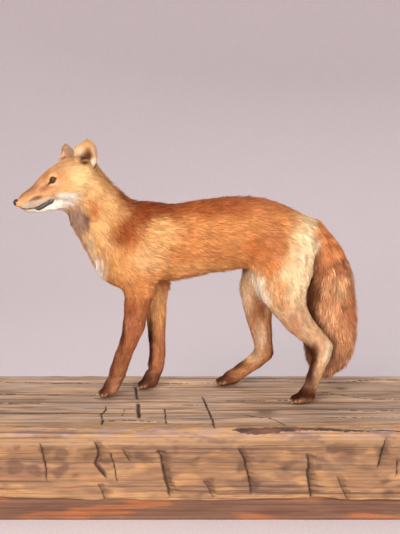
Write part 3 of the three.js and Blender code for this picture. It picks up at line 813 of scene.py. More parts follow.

# %% [markdown]
# ## Marks on the legs and the tail
# Black-brown runs down the front of each leg, and the hair behind it is pale. The far legs have marks
# of their own, because their pose puts them elsewhere, and some of them are painted paler, as painted
# light, where the body shades them. The brush is patched dark, buff and rufous, and is painted darker,
# as painted shade, where it lies behind the near hind leg and the thigh.

# %% Marks on the legs and the tail
LEG_MARKS = [
    ("forearm top", (210, 130, 76), (-126, -40, 222), (40, 60, 36), 0.7),
    ("forearm shade", (150, 84, 50), (-140, -40, 200), (16, 60, 22), 0.5),
    ("forearm front", (92, 50, 34), (-158, -38, 150), (9, 60, 56), 0.9),
    ("wrist front", (84, 46, 34), (-181, -36, 82), (9, 60, 42), 0.9),
    ("wrist", (140, 78, 50), (-166, -34, 86), (20, 60, 40), 0.6),
    ("foot front", (86, 48, 36), (-204, -30, 26), (22, 60, 20), 0.9),
    ("foot rear", (214, 150, 104), (-172, -30, 18), (12, 60, 26), 0.7),
    ("heel hair", (196, 138, 96), (-160, -32, 60), (12, 60, 50), 0.45),
    # painted light: the far forearm is painted paler to lift the shade it stands in under the body
    ("far forearm top, painted light", (255, 184, 118), (-90, 40, 190), (32, 60, 66), 1.0),
    ("far forearm front", (70, 40, 32), (-106, 34, 96), (10, 60, 74), 0.95),
    ("far foot front", (72, 42, 32), (-126, 26, 22), (22, 60, 22), 0.85),
    ("hind rear", (244, 214, 172), (262, -56, 104), (18, 60, 40), 0.85),
    ("hind rear low", (232, 174, 122), (243, -62, 48), (11, 60, 46), 0.9),
    ("hind calf", (232, 178, 128), (236, -54, 150), (22, 60, 26), 0.7),
    ("shank front", (208, 138, 94), (186, -60, 164), (16, 60, 30), 0.6),
    ("cannon front high", (98, 46, 26), (227, -58, 108), (11, 60, 30), 0.9),
    ("cannon front", (80, 34, 18), (220, -58, 76), (17, 60, 54), 0.95),
    ("hind foot front", (58, 26, 14), (196, -64, 18), (28, 60, 22), 0.95),
    ("far thigh front", (240, 200, 160), (92, 46, 205), (20, 60, 70), 0.85),
    ("far thigh shade", (140, 74, 46), (126, 46, 196), (16, 60, 36), 0.7),
    # painted light: the far shank is painted paler to lift the shade it stands in under the body
    ("far shank, painted light", (252, 206, 166), (126, 46, 118), (18, 60, 42), 0.9),
    ("far hock", (236, 190, 144), (118, 48, 74), (20, 60, 24), 0.7),
    ("far hock tuft", (134, 54, 34), (158, 48, 72), (9, 60, 14), 0.9),
    ("far cannon", (92, 52, 36), (74, 50, 54), (34, 60, 13), 0.9),
    ("far foot front", (82, 46, 34), (44, 50, 22), (22, 60, 18), 0.85),
    ("toes", (196, 142, 100), (-198, -29, 2), (24, 60, 7), 0.6),
    ("hind toes", (208, 156, 112), (208, -67, 4), (24, 60, 12), 0.65),
]
TAIL_MARKS = [
    ("tail top", (208, 124, 72), (240, 0, 330), (44, 60, 36), 0.7),
    ("tail dark patch", (140, 84, 60), (276, 0, 290), (22, 60, 15), 0.75),
    ("tail buff", (222, 172, 124), (280, 8, 246), (34, 60, 24), 0.7),
    ("tail rufous", (198, 122, 78), (306, 8, 200), (26, 60, 50), 0.7),
    ("tail buff low", (230, 176, 132), (262, 8, 188), (18, 60, 30), 0.6),
    # painted shade: these three marks darken the tail where it lies behind the near hind leg and the thigh
    ("tail dark", (80, 38, 20), (230, 140), (20, 84), 1.0),
    ("painted shade by the hock", (92, 48, 28), (260, 118), (20, 44), 0.8),
    ("behind the thigh", (120, 66, 40), (234, 250), (16, 56), 0.75),
    ("tail low", (190, 130, 98), (282, 8, 84), (44, 60, 40), 0.7),
    ("tail tip", (216, 158, 116), (262, 8, 36), (26, 60, 18), 0.5),
]
print("marks on the legs:", len(LEG_MARKS), "and on the tail:", len(TAIL_MARKS))

# %% [markdown]
# ## Marks on the head and the toes
# The face is marked in the head's own measures, alike on both sides. On each paw, painted shade in
# the gaps and creases and painted highlights on top set off small pale toes, worked out from the
# paw's own sizes.

# %% Marks on the head and the toes
UMBER = (84, 48, 34)
WHITE = (255, 246, 228)
HEAD_MARKS = [
    ("forehead", (234, 170, 118), (104, 0, 32), (34, 30, 18), 0.7),
    ("bridge", (176, 114, 80), (44, 0, 9), (46, 22, 14), 0.8),
    ("stop", (206, 124, 74), (80, 8, 22), (16, 14, 12), 0.7),
    ("before the eye", (172, 104, 70), (66, 22, 4), (13, 10, 7), 0.75),
    ("whisker smudge", (126, 80, 62), (44, 18, -8), (15, 10, 5.5), 0.85),
    ("upper lip", (228, 206, 184), (26, 15, -15), (24, 10, 7.5), 0.95),
    ("upper lip rear", (240, 214, 180), (52, 19, -18), (22, 9, 5.5), 0.9),
    ("cheek", WHITE, (92, 36, -28), (34, 22, 15), 0.95),
    ("jaw", WHITE, (60, 14, -38), (60, 26, 12), 0.95),
    ("cheek buff", (246, 196, 124), (118, 44, -10), (34, 20, 14), 0.7),
    ("behind the eye", (232, 160, 98), (112, 34, 12), (18, 14, 10), 0.6),
    ("cheek rear", (252, 214, 150), (140, 46, 0), (28, 20, 36), 0.9),
    ("below the eye", (234, 184, 146), (99, 30, 3), (13, 9, 4), 0.6),
    ("eye rim low", (36, 22, 16), (84.5, 27, 10.4), (7, 9, 4.0), 1.0),
    ("eye rim high", (50, 30, 22), (95, 28, 13.8), (7, 9, 3.6), 0.95),
    ("tear line", (30, 18, 14), (80, 24, 9.2), (7, 9, 3.2), 1.0),
]
# painted shade in the gaps and creases between the toes, and painted highlights on the toes
TOE_MARKS = [("painted shade between the toes", UMBER, (toe + 12, gap, 6), (18, 2.2, 13), 0.85) for toe, gap in toe_gaps]
TOE_MARKS += [("toe", (206, 150, 108), (toe + 9, gap + 5, 5), (12, 3.2, 6), 0.6) for toe, gap in toe_gaps]
for toe, _, _ in PAWS.values():
    for place in (toe + 9, toe + 18):
        TOE_MARKS.append(("painted shade in a toe crease", (52, 28, 20), (place, 7), (2.6, 8), 0.9))
    for ahead in (3, 12, 21):
        centre = (toe + ahead + 2, 7 + ahead * 0.15)
        TOE_MARKS.append(("painted highlight on a toe", (214, 152, 106), centre, (3.4, 5), 0.75))
print("marks on the head:", len(HEAD_MARKS), "and on the toes:", len(TOE_MARKS))

# %% [markdown]
# ## Painting the coat
# The marks go on at points that have been moved a little by soft noise, which makes their edges
# ragged as hair does. Each region takes only its own marks, and its share fades into the next.

# %% Painting the coat
def lay_marks(colors, points, marks):
    """Lays soft marks over the colours of some points, one after another."""
    for _, color, centre, radii, amount in marks:
        axes = (0, 1, 2) if len(centre) == 3 else (0, 2)
        offset = sum(((points[:, axis] - c) / r) ** 2 for axis, c, r in zip(axes, centre, radii))
        edge = np.clip(1.35 - np.sqrt(offset), 0, 1)
        cover = (edge * edge * (3 - 2 * edge) * amount)[:, None]
        colors = colors + cover * (np.array(tint(*color)) - colors)
    return colors


def raggedness(seed):
    """How far a mark's edge wanders, in millimetres: wide waves and finer ones."""
    return soft_noise(outer_points, 34, 40 + seed) * 4 + soft_noise(outer_points, 13, 44 + seed) * 2


ragged_points = outer_points + np.stack([raggedness(seed) for seed in range(3)], axis=1)
paint = lay_marks(ground, ragged_points, BODY_MARKS)
leg_share = spread(on(*[n for n in FLESH if "leg" in n or "shank" in n or "paw" in n]), 14)[:, None]
tail_paint_share = spread(on("tail_root", "tail_brush"), 10)[:, None]
head_share = spread(on("head", "lower_jaw"), 16)[:, None]
paint = ground + (paint - ground) * (1 - tail_paint_share) * (1 - 0.75 * leg_share) * (1 - head_share)
thigh_right_share = spread(on("thigh_right", "shank_right"), 8)[:, None]
leg_points = outer_points + 0.4 * (ragged_points - outer_points)
leg_paint = lay_marks(lay_marks(paint, leg_points, LEG_MARKS), outer_points, TOE_MARKS)
paint = paint + np.clip(leg_share + thigh_right_share, 0, 1) * (leg_paint - paint)
paint = paint + tail_paint_share * (lay_marks(paint, ragged_points, TAIL_MARKS) - paint)
mottling = 0.08 * soft_noise(outer_points, 26, 31) + 0.06 * soft_noise(outer_points, 12, 32)
paint = paint * (1 + mottling * (1 - head_share[:, 0]) * (1 + 2.2 * tail_paint_share[:, 0]))[:, None]
head_outer = to_head(outer_points)
head_outer[:, 1] = np.abs(head_outer[:, 1])
paint = paint + head_share * (lay_marks(paint, head_outer, HEAD_MARKS) - paint)
print("painted", skin_count, "points")

# %% [markdown]
# ## The ears
# An ear's back is short fur, its rim is dark, and inside it long pale hair hangs over a hollow that is
# painted nearly black as its shade.
# Where a point of the ear lies, across from its axis, tells the inside from the outside.

# %% The ears
EARS = {
    # root, tip and the way the opening faces
    "ear_left": ((-231, -34, 462), (-217, -55, 531), (-0.45, -1, 0.05)),
    "ear_right": ((-276, 21, 452), (-276, 38, 517), (-1, 0.35, 0.1)),
}
EAR_MARKS = [
    ("top", (238, 190, 124), (-217, 518), (13, 12), 0.6),
    ("inner hair", (246, 218, 176), (-232, 501), (10, 9), 0.85),
    ("rear wall", (238, 190, 150), (-206, 504), (7, 18), 0.8),
    ("streak", (150, 92, 56), (-219, 503), (5, 9), 0.8),
    ("red hollow", (104, 48, 28), (-221, 493), (10, 11), 0.95),
    # painted shade: the deep hollow of the ear is painted nearly black
    ("hollow", (36, 20, 15), (-231, 488), (9, 7), 1.0),
    ("lobe", (255, 236, 204), (-210, 484), (9, 9), 0.95),
    ("notch", (90, 58, 36), (-208, 474), (4, 4), 0.8),
]
print("marks inside the near ear:", len(EAR_MARKS))

# %% [markdown]
# ## Shaping and painting the ears
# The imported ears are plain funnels. Their front edge is drawn forward, the far one's rim is widened,
# and a hollow is pressed into the near one.

# %% Shaping and painting the ears
FORWARD_EDGE = 10.0
EAR_HOLLOW = (-227, -40, 490)
HOLLOW_REACH, HOLLOW_DEPTH = 9.0, 8.0
ear_inside = np.zeros(skin_count)
ear_up = np.zeros((skin_count, 3))
ear_rim = np.zeros(skin_count)
for name, (root, tip, faces) in EARS.items():
    root, tip, faces = (np.array(v, float) for v in (root, tip, faces))
    up = (tip - root) / np.linalg.norm(tip - root)
    facing = faces - faces @ up * up
    facing /= np.linalg.norm(facing)
    share = spread(on(name), 3)
    lean = skin_normals @ facing
    height = (skin_points - root) @ up / np.linalg.norm(tip - root)
    front_way = np.cross(up, facing) * np.sign(-np.cross(up, facing)[0])
    front = np.clip(((skin_points - root) @ front_way - 4) / 12, 0, 1)
    aside = (skin_points - root) @ front_way
    broader = 0.6 * share * np.exp(-(((height - 0.86) / 0.16) ** 2)) * (name == "ear_right")
    skin_points = skin_points + (broader * aside)[:, None] * front_way
    pull = share * front * np.exp(-(((height - 0.56) / 0.26) ** 2)) * FORWARD_EDGE
    skin_points = skin_points + pull[:, None] * front_way
    inner = share * np.clip(lean * 2.2 + 0.2, 0, 1)
    edge_on = np.exp(-(((lean + 0.12) / 0.3) ** 2))
    ear_inside = np.maximum(ear_inside, inner)
    paint = paint + 0.85 * inner[:, None] * (np.array(tint(246, 200, 146)) - paint)
    ear_rim = np.maximum(ear_rim, share * np.clip((height - 0.5) / 0.25, 0, 1) * edge_on)
    ear_up += share[:, None] * up
near_side = np.clip((-26 - outer_points[:, 1]) / 6, 0, 1) + spread(on("ear_left"), 2) * 3
near_side = np.clip(near_side, 0, 1)[:, None]
paint = paint + near_side * (lay_marks(paint, outer_points, EAR_MARKS) - paint)
paint = paint + np.clip(1.5 * ear_rim, 0, 0.95)[:, None] * (np.array(tint(84, 50, 34)) - paint)
from_hollow = np.linalg.norm(skin_points - EAR_HOLLOW, axis=1) / HOLLOW_REACH
hollow = np.exp(-(from_hollow**2))
skin_points = skin_points - skin_normals * (hollow * HOLLOW_DEPTH)[:, None]
set_points(skin, to_metres(skin_points))
skin_normals = normals_of(skin)
print("inside the ears:", int((ear_inside > 0.5).sum()), "points")

# %% [markdown]
# ## The lie of the coat
# Hair grows backwards from the nose and down the limbs. Each node has one main way, a few lines turn
# it where the body turns, and spreading it over the skin joins the ways smoothly. Last, the flow is
# laid flat on the skin.

# %% The lie of the coat
LIE = {
    "head": tuple(BACKWARDS),
    "lower_jaw": tuple(BACKWARDS),
    "ear": (0, 0, 0),
    "neck": (0.62, 0, -0.78),
    "trunk": (0.95, 0, -0.3),
    "thigh_left": (0.38, 0, -0.92),
    "thigh_right": (0.3, 0, -0.95),
    "shank_left": (0.58, 0, -0.81),
    "shank_right": (0.14, 0, -0.99),
    "foreleg_left": (-0.25, 0, -0.97),
    "foreleg_right": (-0.02, 0, -1),
    "forepaw": (-0.85, 0, -0.5),
    "hindpaw_left": (-0.85, 0, -0.5),
    "hindpaw_right": (-0.9, 0, -0.4),
    "tail_root": (0.5, 0, -0.87),
    "tail_brush": (0.02, 0, -1),
}
x, y, z = outer_points.T
flow = per_node(LIE) + ear_up


def turn_flow(share, way):
    """Turns the flow to another way where share is 1."""
    return flow + share[:, None] * (np.array(way, float) - flow)


on_trunk = on("trunk")
flow = turn_flow(on_trunk * np.clip((-100 - x) / 60, 0, 1), (0.5, 0, -0.87))
flow = turn_flow(on_trunk * np.clip((x - 140) / 50, 0, 1), (0.8, 0, -0.6))
flow = turn_flow(on_trunk * np.clip((z - 385) / 30, 0, 1), (1, 0, -0.08))
flow = turn_flow(on_trunk * np.clip((275 - z) / 30, 0, 1) * (x > -60), (0.85, 0, -0.5))
flow = turn_flow(on("shank_left") * np.clip((112 - z) / 14, 0, 1), (-0.28, 0, -0.96))
flow = turn_flow(on("shank_right") * np.clip((78 - z) / 14, 0, 1), (-0.8, 0, -0.6))
side = np.sign(s) * np.clip(np.abs(s) / 10, 0, 1)
flow += (head_share[:, 0] * np.clip((u - 60) / 40, 0, 1) * side * 0.28)[:, None] * LEFTWARDS
jowl = np.clip((4 - w) / 30, 0, 1) * np.clip((u - 60) / 30, 0, 1)
flow -= (head_share[:, 0] * jowl * 0.45)[:, None] * UPWARDS
flow = spread(flow, 36)
flow -= (flow * skin_normals).sum(1)[:, None] * skin_normals
flow /= np.linalg.norm(flow, axis=1)[:, None] + 1e-9
print("points where the hair hangs more than it lies back:", int((flow[:, 2] < -0.7).sum()))

# %% [markdown]
# ## Streaks
# A real coat is streaked along its own lie, lighter and darker by turns, as locks of hair part. Grey
# noise on the skin, averaged many times but only between neighbours that lie one behind the other,
# turns into such streaks. They tint the paint, and later they lift the locks.

# %% Streaks
edge_a, edge_b = edge_ends.T
edge_way = skin_points[edge_b] - skin_points[edge_a]
edge_way /= np.linalg.norm(edge_way, axis=1)[:, None] + 1e-9
along_a = (edge_way * flow[edge_a]).sum(1) ** 4 + 0.01
along_b = (edge_way * flow[edge_b]).sum(1) ** 4 + 0.01
total_weight = np.bincount(edge_a, along_a, skin_count) + np.bincount(edge_b, along_b, skin_count)


def streaked(values, rounds):
    """Averages along the flow only."""
    for _ in range(rounds):
        sums = np.bincount(edge_a, values[edge_b] * along_a, skin_count)
        sums += np.bincount(edge_b, values[edge_a] * along_b, skin_count)
        values = 0.5 * values + 0.5 * sums / total_weight
    return values / values.std()


fine_streak = streaked(rng.normal(size=skin_count), 14)
broad_streak = streaked(spread(rng.normal(size=skin_count), 3), 36)
streak = np.clip(0.95 * fine_streak + 0.3 * broad_streak, -2.5, 2.5)
strong = 1 - 0.55 * spread(on("head", "lower_jaw", "ear_left", "ear_right"), 4)
darken = np.exp(np.outer(streak * strong, (0.12, 0.145, 0.16)))
lightness = (paint @ (0.2, 0.7, 0.1))[:, None]
paint = np.clip(paint * darken * (0.77 + 0.17 * lightness**2), 0, 1)
print("streaks from", streak.min().round(2), "to", streak.max().round(2))

# %% [markdown]
# ## Unwrapping the skin for its colours
# For a flat picture of its colours the skin is unwrapped: each node's surface is rolled off its own
# upright axis, as a label comes off a bottle, into a tile of its own. A tuft takes a small patch of
# that picture at its root's place.

# %% Unwrapping the skin for its colours
TILES = math.ceil(math.sqrt(len(FLESH)))
PATCH = 0.003
unwrapped = np.zeros((skin_count, 2))
for name, number in NODE.items():
    here = skin_node == number
    points = skin_points[here]
    middle = points.mean(0)
    spans = np.linalg.svd(points - middle, full_matrices=False)[2]
    along, across, third = ((points - middle) @ spans.T).T
    turn = np.arctan2(third, across) / (2 * math.pi) + 0.5
    tall = (along - along.min()) / (along.max() - along.min())
    corner = np.array([number % TILES, number // TILES]) / TILES
    unwrapped[here] = corner + (0.04 + 0.92 * np.stack([turn, tall], axis=1)) / TILES
print("tiles:", TILES * TILES)

# %% [markdown]
# ## The skin's finish
# Tanned skin under a coat is seen only where the hair is thin. It takes the same paint as the coat,
# darkened by the shade between hairs, with a fine streaky bump that reads as the shortest hair.

# %% The skin's finish
BETWEEN_HAIRS = 0.9
skin_graph = Graph("fox_skin", Roughness=0.72, Specular_IOR_Level=0.05)
mottle = skin_graph.noise(28, 4)
fine = skin_graph.noise(420, 2, skin_graph.place((1, 1, 0.35)))
shade = 1.0 + (mottle - 0.5) * 0.35 + (fine - 0.5) * 0.4
skin_color = skin_graph.shade(skin_graph.stored("coat_tint", color=True), shade * BETWEEN_HAIRS)
skin_material = skin_graph.set(Base_Color=skin_color, Normal=skin_graph.bump(fine, 0.35, 0.0006))
add_attribute(skin, "coat_tint", paint, "FLOAT_COLOR")
finish_piece(skin, skin_material, "coat", *FLESH)

# %% [markdown]
# ## The roots of the tufts
# Roots thrown down evenly by chance leave bald spots and clumps. Throwing far too many, and then
# keeping one in each small cube of space, gives an even coat. The cubes are as wide as the spacing
# that the coat's table asks for.

# %% The roots of the tufts
skin.data.calc_loop_triangles()
triangles = np.empty(len(skin.data.loop_triangles) * 3, np.int32)
skin.data.loop_triangles.foreach_get("vertices", triangles)
triangles = triangles.reshape(-1, 3)
a, b, c = (skin_points[triangles[:, k]] for k in range(3))
area = np.linalg.norm(np.cross(b - a, c - a), axis=1) / 2
spacing = coat[:, 3][triangles].mean(1)
skin_tree = tree_of(skin_points, triangles)
print("skin area:", (area.sum() / 1e6).round(3), "m2")


def throw_roots(weight, density):
    """Picks roots on the skin: the face, and the share of each of its corners."""
    wanted = area * density / spacing**2 * weight[triangles].mean(1)
    pick = rng.choice(len(area), size=int(wanted.sum()), p=wanted / wanted.sum())
    p, q = rng.random((2, len(pick)))
    over = p + q > 1
    p[over], q[over] = 1 - p[over], 1 - q[over]
    shares = np.stack([1 - p - q, p, q], axis=1)
    return pick, shares


CUBE_STEP = 1.15


def thin_out(points, gaps):
    """Keeps one point in each cube; each size of cube is a step larger than the last."""
    level = np.round(np.log(gaps) / np.log(CUBE_STEP)).astype(int)
    size = CUBE_STEP**level
    cube = np.floor(points / size[:, None]).astype(np.int64)
    key = np.column_stack([level, cube])
    order = rng.permutation(len(points))
    _, first = np.unique(key[order], axis=0, return_index=True)
    return order[first]


def carried(values, pick, shares):
    """The skin's values at the roots."""
    return (values[triangles[pick]] * shares.reshape(len(pick), 3, *[1] * (values.ndim - 1))).sum(1)


# %% [markdown]
# ## Lying along the skin, in locks
# A tuft follows the skin under it, so its points are set at a height above the nearest skin. Hair also
# gathers into locks: neighbouring tufts share a number, and their tips are drawn to one place.

# %% Lying along the skin, in locks
def conform(points, heights):
    """Moves points to a given height above the skin, along its normal."""
    moved = np.empty_like(points)
    for i, point in enumerate(points):
        place, normal, _, _ = skin_tree.find_nearest(Vector(point))
        moved[i] = place + normal * heights[i]
    return moved


def locks_of(roots, reach):
    """The number of the lock that each tuft belongs to: cells whose walls waver."""
    waver = np.stack([soft_noise(roots, reach * 3, seed) for seed in (5, 6, 7)], axis=1)
    _, lock = np.unique(np.floor(roots / reach + waver * 0.5).astype(np.int64), axis=0, return_inverse=True)
    return lock.ravel()


def gather(tips, lock, pull):
    """Draws each tip towards the mean tip of its lock."""
    size = np.bincount(lock)
    middle = np.stack([np.bincount(lock, tips[:, k]) / size for k in range(3)], axis=1)
    return tips + (middle[lock] - tips) * pull


def lie_of(pick, shares, roots, wild):
    """At each root: the skin's normal, the way its tuft lies, the way across it, and how loose it is."""
    normal = carried(skin_normals, pick, shares)
    normal /= np.linalg.norm(normal, axis=1)[:, None]
    way = carried(flow, pick, shares)
    loose = carried(shag, pick, shares) * rng.uniform(0.2, 1.0, len(roots))
    way[:, 2] -= 0.8 * loose
    across = np.cross(normal, way)
    sway = soft_noise(roots, 34, 1) * 0.16 + soft_noise(roots, 11, 2) * 0.14
    sway += rng.normal(size=len(roots)) * wild
    way = way * np.cos(sway)[:, None] + across * np.sin(sway)[:, None]
    way -= (way * normal).sum(1)[:, None] * normal
    way /= np.linalg.norm(way, axis=1)[:, None] + 1e-9
    return normal, way, np.cross(normal, way), loose


# %% [markdown]
# ## One tuft
# A tuft is a thin closed spike with three sides, bent at most once, so that it leaves the skin and
# then lies along it. Hair curves are lost when a model is stored as meshes, and solid spikes are kept.

# %% One tuft
NARROWING = (1.0, 0.85)


def spike(bends):
    """The triangles of one spike, and how far along it each of its points is."""
    last = 3 * bends
    faces = [(0, 2, 1)]
    for low in range(0, last, 3):
        for j in range(3):
            k = (j + 1) % 3
            faces += [(low + j, low + k, low + 3 + k), (low + j, low + 3 + k, low + 3 + j)]
    faces += [(last + j, last + (j + 1) % 3, last + 3) for j in range(3)]
    rise = np.append(np.repeat(np.linspace(0, 1, bends + 2)[:-1], 3), 1.0)
    return np.array(faces), rise


def spikes(spine, breadth, normal, across):
    """The points of every spike, three for each place on its spine but the tip."""
    rings = []
    for centre, share in zip(spine[:-1], NARROWING):
        wide = (breadth * share / 2)[:, None]
        rings += [centre - across * wide, centre + across * wide, centre + normal * wide * 0.7]
    return np.stack([*rings, spine[-1]], axis=1)


def lay_patches(piece, places, rise):
    """Each tuft's patch of the colour picture, at its root's place."""
    sideways = np.resize([0, 1, 0.5], len(rise))
    spot = np.stack([sideways - 0.5, rise - 0.5], axis=1) * PATCH
    point_uv = (places[:, None] + spot[None]).reshape(-1, 2)
    corners = np.empty(len(piece.data.loops), np.int32)
    piece.data.loops.foreach_get("vertex_index", corners)
    layer = piece.data.uv_layers.new(name="OFBake")
    layer.data.foreach_set("uv", point_uv[corners].astype(np.float32).ravel())


for bends in (0, 1):
    print("a tuft with", bends, "bends has", len(spike(bends)[0]), "triangles")

# %% [markdown]
# ## One piece of the coat
# This puts the steps together: roots, ways, sizes, spines and spikes. All tufts of a piece are worked
# out at once, in one mesh. Their shading normals lean by chance, so that no two catch the light alike.

# %% One piece of the coat
THROWN_FOR_ONE = 3.0


def build_coat(name, weight, density, bends, stand, wild, reach, pull, contrast):
    """Grows one coat piece where weight is 1, and returns it."""
    pick, shares = throw_roots(weight, density * THROWN_FOR_ONE)
    roots = carried(skin_points, pick, shares)
    kept = thin_out(roots, carried(coat[:, 3], pick, shares) / math.sqrt(density))
    pick, shares, roots = pick[kept], shares[kept], roots[kept]
    count = len(roots)
    normal, way, across, loose = lie_of(pick, shares, roots, wild)
    lock = locks_of(roots, reach)
    # each lock's number lifts the lock and, in the material, lightens it: painted light on raised locks,
    # painted shade on low ones
    lock_lift_and_light = rng.random(lock.max() + 1)[lock]
    length = carried(coat[:, 1], pick, shares) * rng.uniform(0.72, 1.18, count) * (1 + 0.4 * loose)
    breadth = carried(coat[:, 2], pick, shares) * rng.uniform(0.75, 1.2, count)
    high = carried(depth, pick, shares) * stand * rng.uniform(0.7, 1.0, count) * (0.8 + 0.35 * lock_lift_and_light)
    high = high * (1 + 0.16 * np.clip(carried(streak, pick, shares), -1.5, 1.5))
    high = np.minimum(high * (1 + 1.6 * loose + 0.5 * (rng.random(count) > 0.95)), length * 0.75)
    spine = [roots - normal * 0.5]
    for t in np.linspace(0, 1, bends + 2)[1:]:
        ahead = roots + way * (length * t)[:, None] + normal * (high * t)[:, None]
        spine.append(conform(ahead, high * (0.25 + 0.75 * t) * t**0.35))
    spine[-1] = gather(spine[-1], lock, pull)
    points = spikes(spine, breadth, normal, across)
    faces, rise = spike(bends)
    all_faces = (faces[None] + (np.arange(count) * len(rise))[:, None, None]).reshape(-1, 3)
    piece = add_piece(name, to_metres(points.reshape(-1, 3)), all_faces)
    lean = normal + way * rng.normal(0.1, 0.22, count)[:, None] + across * rng.normal(0, 0.28, count)[:, None]
    turned = [lean + side * 0.4 for side in (-across, across, normal)] * (bends + 1) + [lean + way * 0.2]
    piece.data.normals_split_custom_set_from_vertices(np.stack(turned, axis=1).reshape(-1, 3))
    color = carried(paint, pick, shares)
    add_attribute(piece, "coat_tint", np.repeat(color, len(rise), axis=0), "FLOAT_COLOR")
    add_attribute(piece, "tuft_luck", np.repeat(0.5 + contrast * (rng.random(count) - 0.5), len(rise)))
    add_attribute(piece, "lock_lift_and_light", np.repeat(lock_lift_and_light, len(rise)))
    add_attribute(piece, "tuft_rise", np.tile(rise, count))
    lay_patches(piece, carried(unwrapped, pick, shares), rise)
    print(f"{name}: {count} tufts, {len(all_faces)} triangles")
    return piece


# %% [markdown]
# ## The coat's finish
# Hair is darker at the root, as real hair is and as painted shade deep in the coat, and brightest
# below the tip, and no two tufts are quite alike. Each tuft stores a number of its own and how far
# along it a point is, and the material turns those into shade. The number of its lock also makes
# raised locks lighter and low ones darker, as painted light and shade.

# %% The coat's finish
coat_graph = Graph("fox_coat", Roughness=0.66, Specular_IOR_Level=0.04)
luck = coat_graph.stored("tuft_luck")
lock_lift_and_light = coat_graph.stored("lock_lift_and_light")
rise = coat_graph.stored("tuft_rise")
mottle = coat_graph.noise(30, 4)
body = coat_graph.stored("coat_tint", color=True)
# painted shade and light: the root end of each tuft is darker, as the deep coat is shaded, and raised locks
# are lighter than low ones
shade = (0.76 + rise.between(0.0, 0.7) * 0.28) * (0.72 + luck * 0.56) * (0.91 + lock_lift_and_light * 0.18)
dark_tip = (luck * 7.31 + mottle).between(7.2, 7.9) * rise * 0.4
pale_tip = (1 - luck).between(0.75, 0.95) * rise.between(0.3, 1.0) * 0.3
coat_color = coat_graph.shade(body, shade * (0.88 + mottle * 0.24) * (1 - dark_tip) * (1 + pale_tip))
coat_material = coat_graph.set(Base_Color=coat_color)
print("nodes in the coat's finish:", len(coat_graph.tree.nodes))

# %% [markdown]
# ## Where each coat grows
# One piece for each region keeps every piece light. The eyes, lips, nose and soles stay bare, and the
# hollow of the ear nearly so.

# %% Where each coat grows
region = {
    "face": spread(on("head", "lower_jaw"), 2),
    "ears": spread(on("ear_left", "ear_right"), 1),
    "neck": spread(on("neck"), 1),
    "trunk": spread(on("trunk"), 1),
    "haunches": spread(on("thigh_left", "thigh_right"), 1),
    "legs": spread(on("shank_left", "shank_right", "foreleg_left", "foreleg_right"), 1),
    "paws": spread(on("forepaw_left", "forepaw_right", "hindpaw_left", "hindpaw_right"), 1),
    "tail": spread(on("tail_root", "tail_brush"), 1),
}
EYE_SLOPE = 0.24
u, s, w = to_head(skin_points).T


def from_oval(at_u, at_w, long, tall):
    """1 on the edge of a slanting oval on the side of the head, and less inside it."""
    return np.sqrt(((u - at_u) / long) ** 2 + ((w - at_w - (u - at_u) * EYE_SLOPE) / tall) ** 2)


eye_gap = np.minimum(from_oval(90, 12, 9.5, 4.8), from_oval(80, 8.6, 10, 3.0))
near_eye = np.clip((eye_gap - 0.85) * 6, 0, 1) + (np.abs(s) < 14)
either_side = np.stack([u, np.abs(s), w], axis=1)
_, _, mouth_away = onto_line(either_side, MOUTH_LINE)
_, _, lip_away = onto_line(either_side, LIP_LINE)
off_lips = np.clip((np.minimum(mouth_away, lip_away - 2.0) - 1.0) / 1.0, 0, 1) + (u > 80)
from_nose = np.linalg.norm(np.stack([u - 7, s, w + 2], axis=1) / (7.5, 9, 7.5), axis=1)
off_nose = np.clip((from_nose - 1.05) * 8, 0, 1)
region["face"] = region["face"] * np.clip(near_eye, 0, 1) * np.clip(off_lips, 0, 1) * off_nose
region["paws"] = region["paws"] * np.clip((skin_points[:, 2] - 1.2) / 1.0, 0, 1)
out_of_hollow = 1 - np.clip(hollow * 2.2 - 0.4, 0, 1)
region["ears"] = region["ears"] * (1 - 0.4 * np.clip(ear_inside, 0, 1)) * out_of_hollow
region["face"] = region["face"] * out_of_hollow
MIDDLE, SEAM = -17.5, 4
front_half = np.clip((MIDDLE - outer_points[:, 0]) / SEAM + 0.5, 0, 1)
region["trunk_front"] = region["trunk"] * front_half
region["trunk_rear"] = region["trunk"] * (1 - front_half)
print("points with hair:", int((sum(region.values()) > 0.5).sum()), "of", skin_count)

# %% [markdown]
# ## Where the coat hangs loose
# On the throat, the belly, the nape and the tail the hair is longer and hangs. Each such place is a
# soft ball, and its amount later lengthens the tufts, lifts them and turns them down.

# %% Where the coat hangs loose
SHAGGY = [
    # name, centre, radii, amount
    ("throat", (-232, 0, 366), (34, 60, 50), 0.5),
    ("chest", (-204, 0, 290), (26, 70, 60), 1.0),
    ("belly", (10, 0, 234), (180, 100, 34), 1.3),
    ("flank fold", (112, 0, 246), (20, 90, 44), 0.6),
    ("behind the thigh", (236, 0, 260), (26, 90, 80), 0.6),
    ("under the arm", (-92, 0, 234), (36, 80, 24), 0.7),
    ("tail", (285, 8, 170), (90, 60, 200), 0.45),
    ("nape", (-172, 0, 440), (44, 24, 50), 0.8),
    ("crest", (-134, 0, 408), (44, 24, 26), 0.6),
]
shag = np.zeros(skin_count)
for _, centre, radii, amount in SHAGGY:
    away = np.linalg.norm((outer_points - centre) / radii, axis=1)
    shag = np.maximum(shag, amount * np.clip(1.3 - away, 0, 1))
print("points with loose hair:", int((shag > 0.2).sum()))

# %% [markdown]
# ## Growing the coat
# The body has broad locks, the legs short close hair, the face the finest of all, and the tail long
# uneven locks.

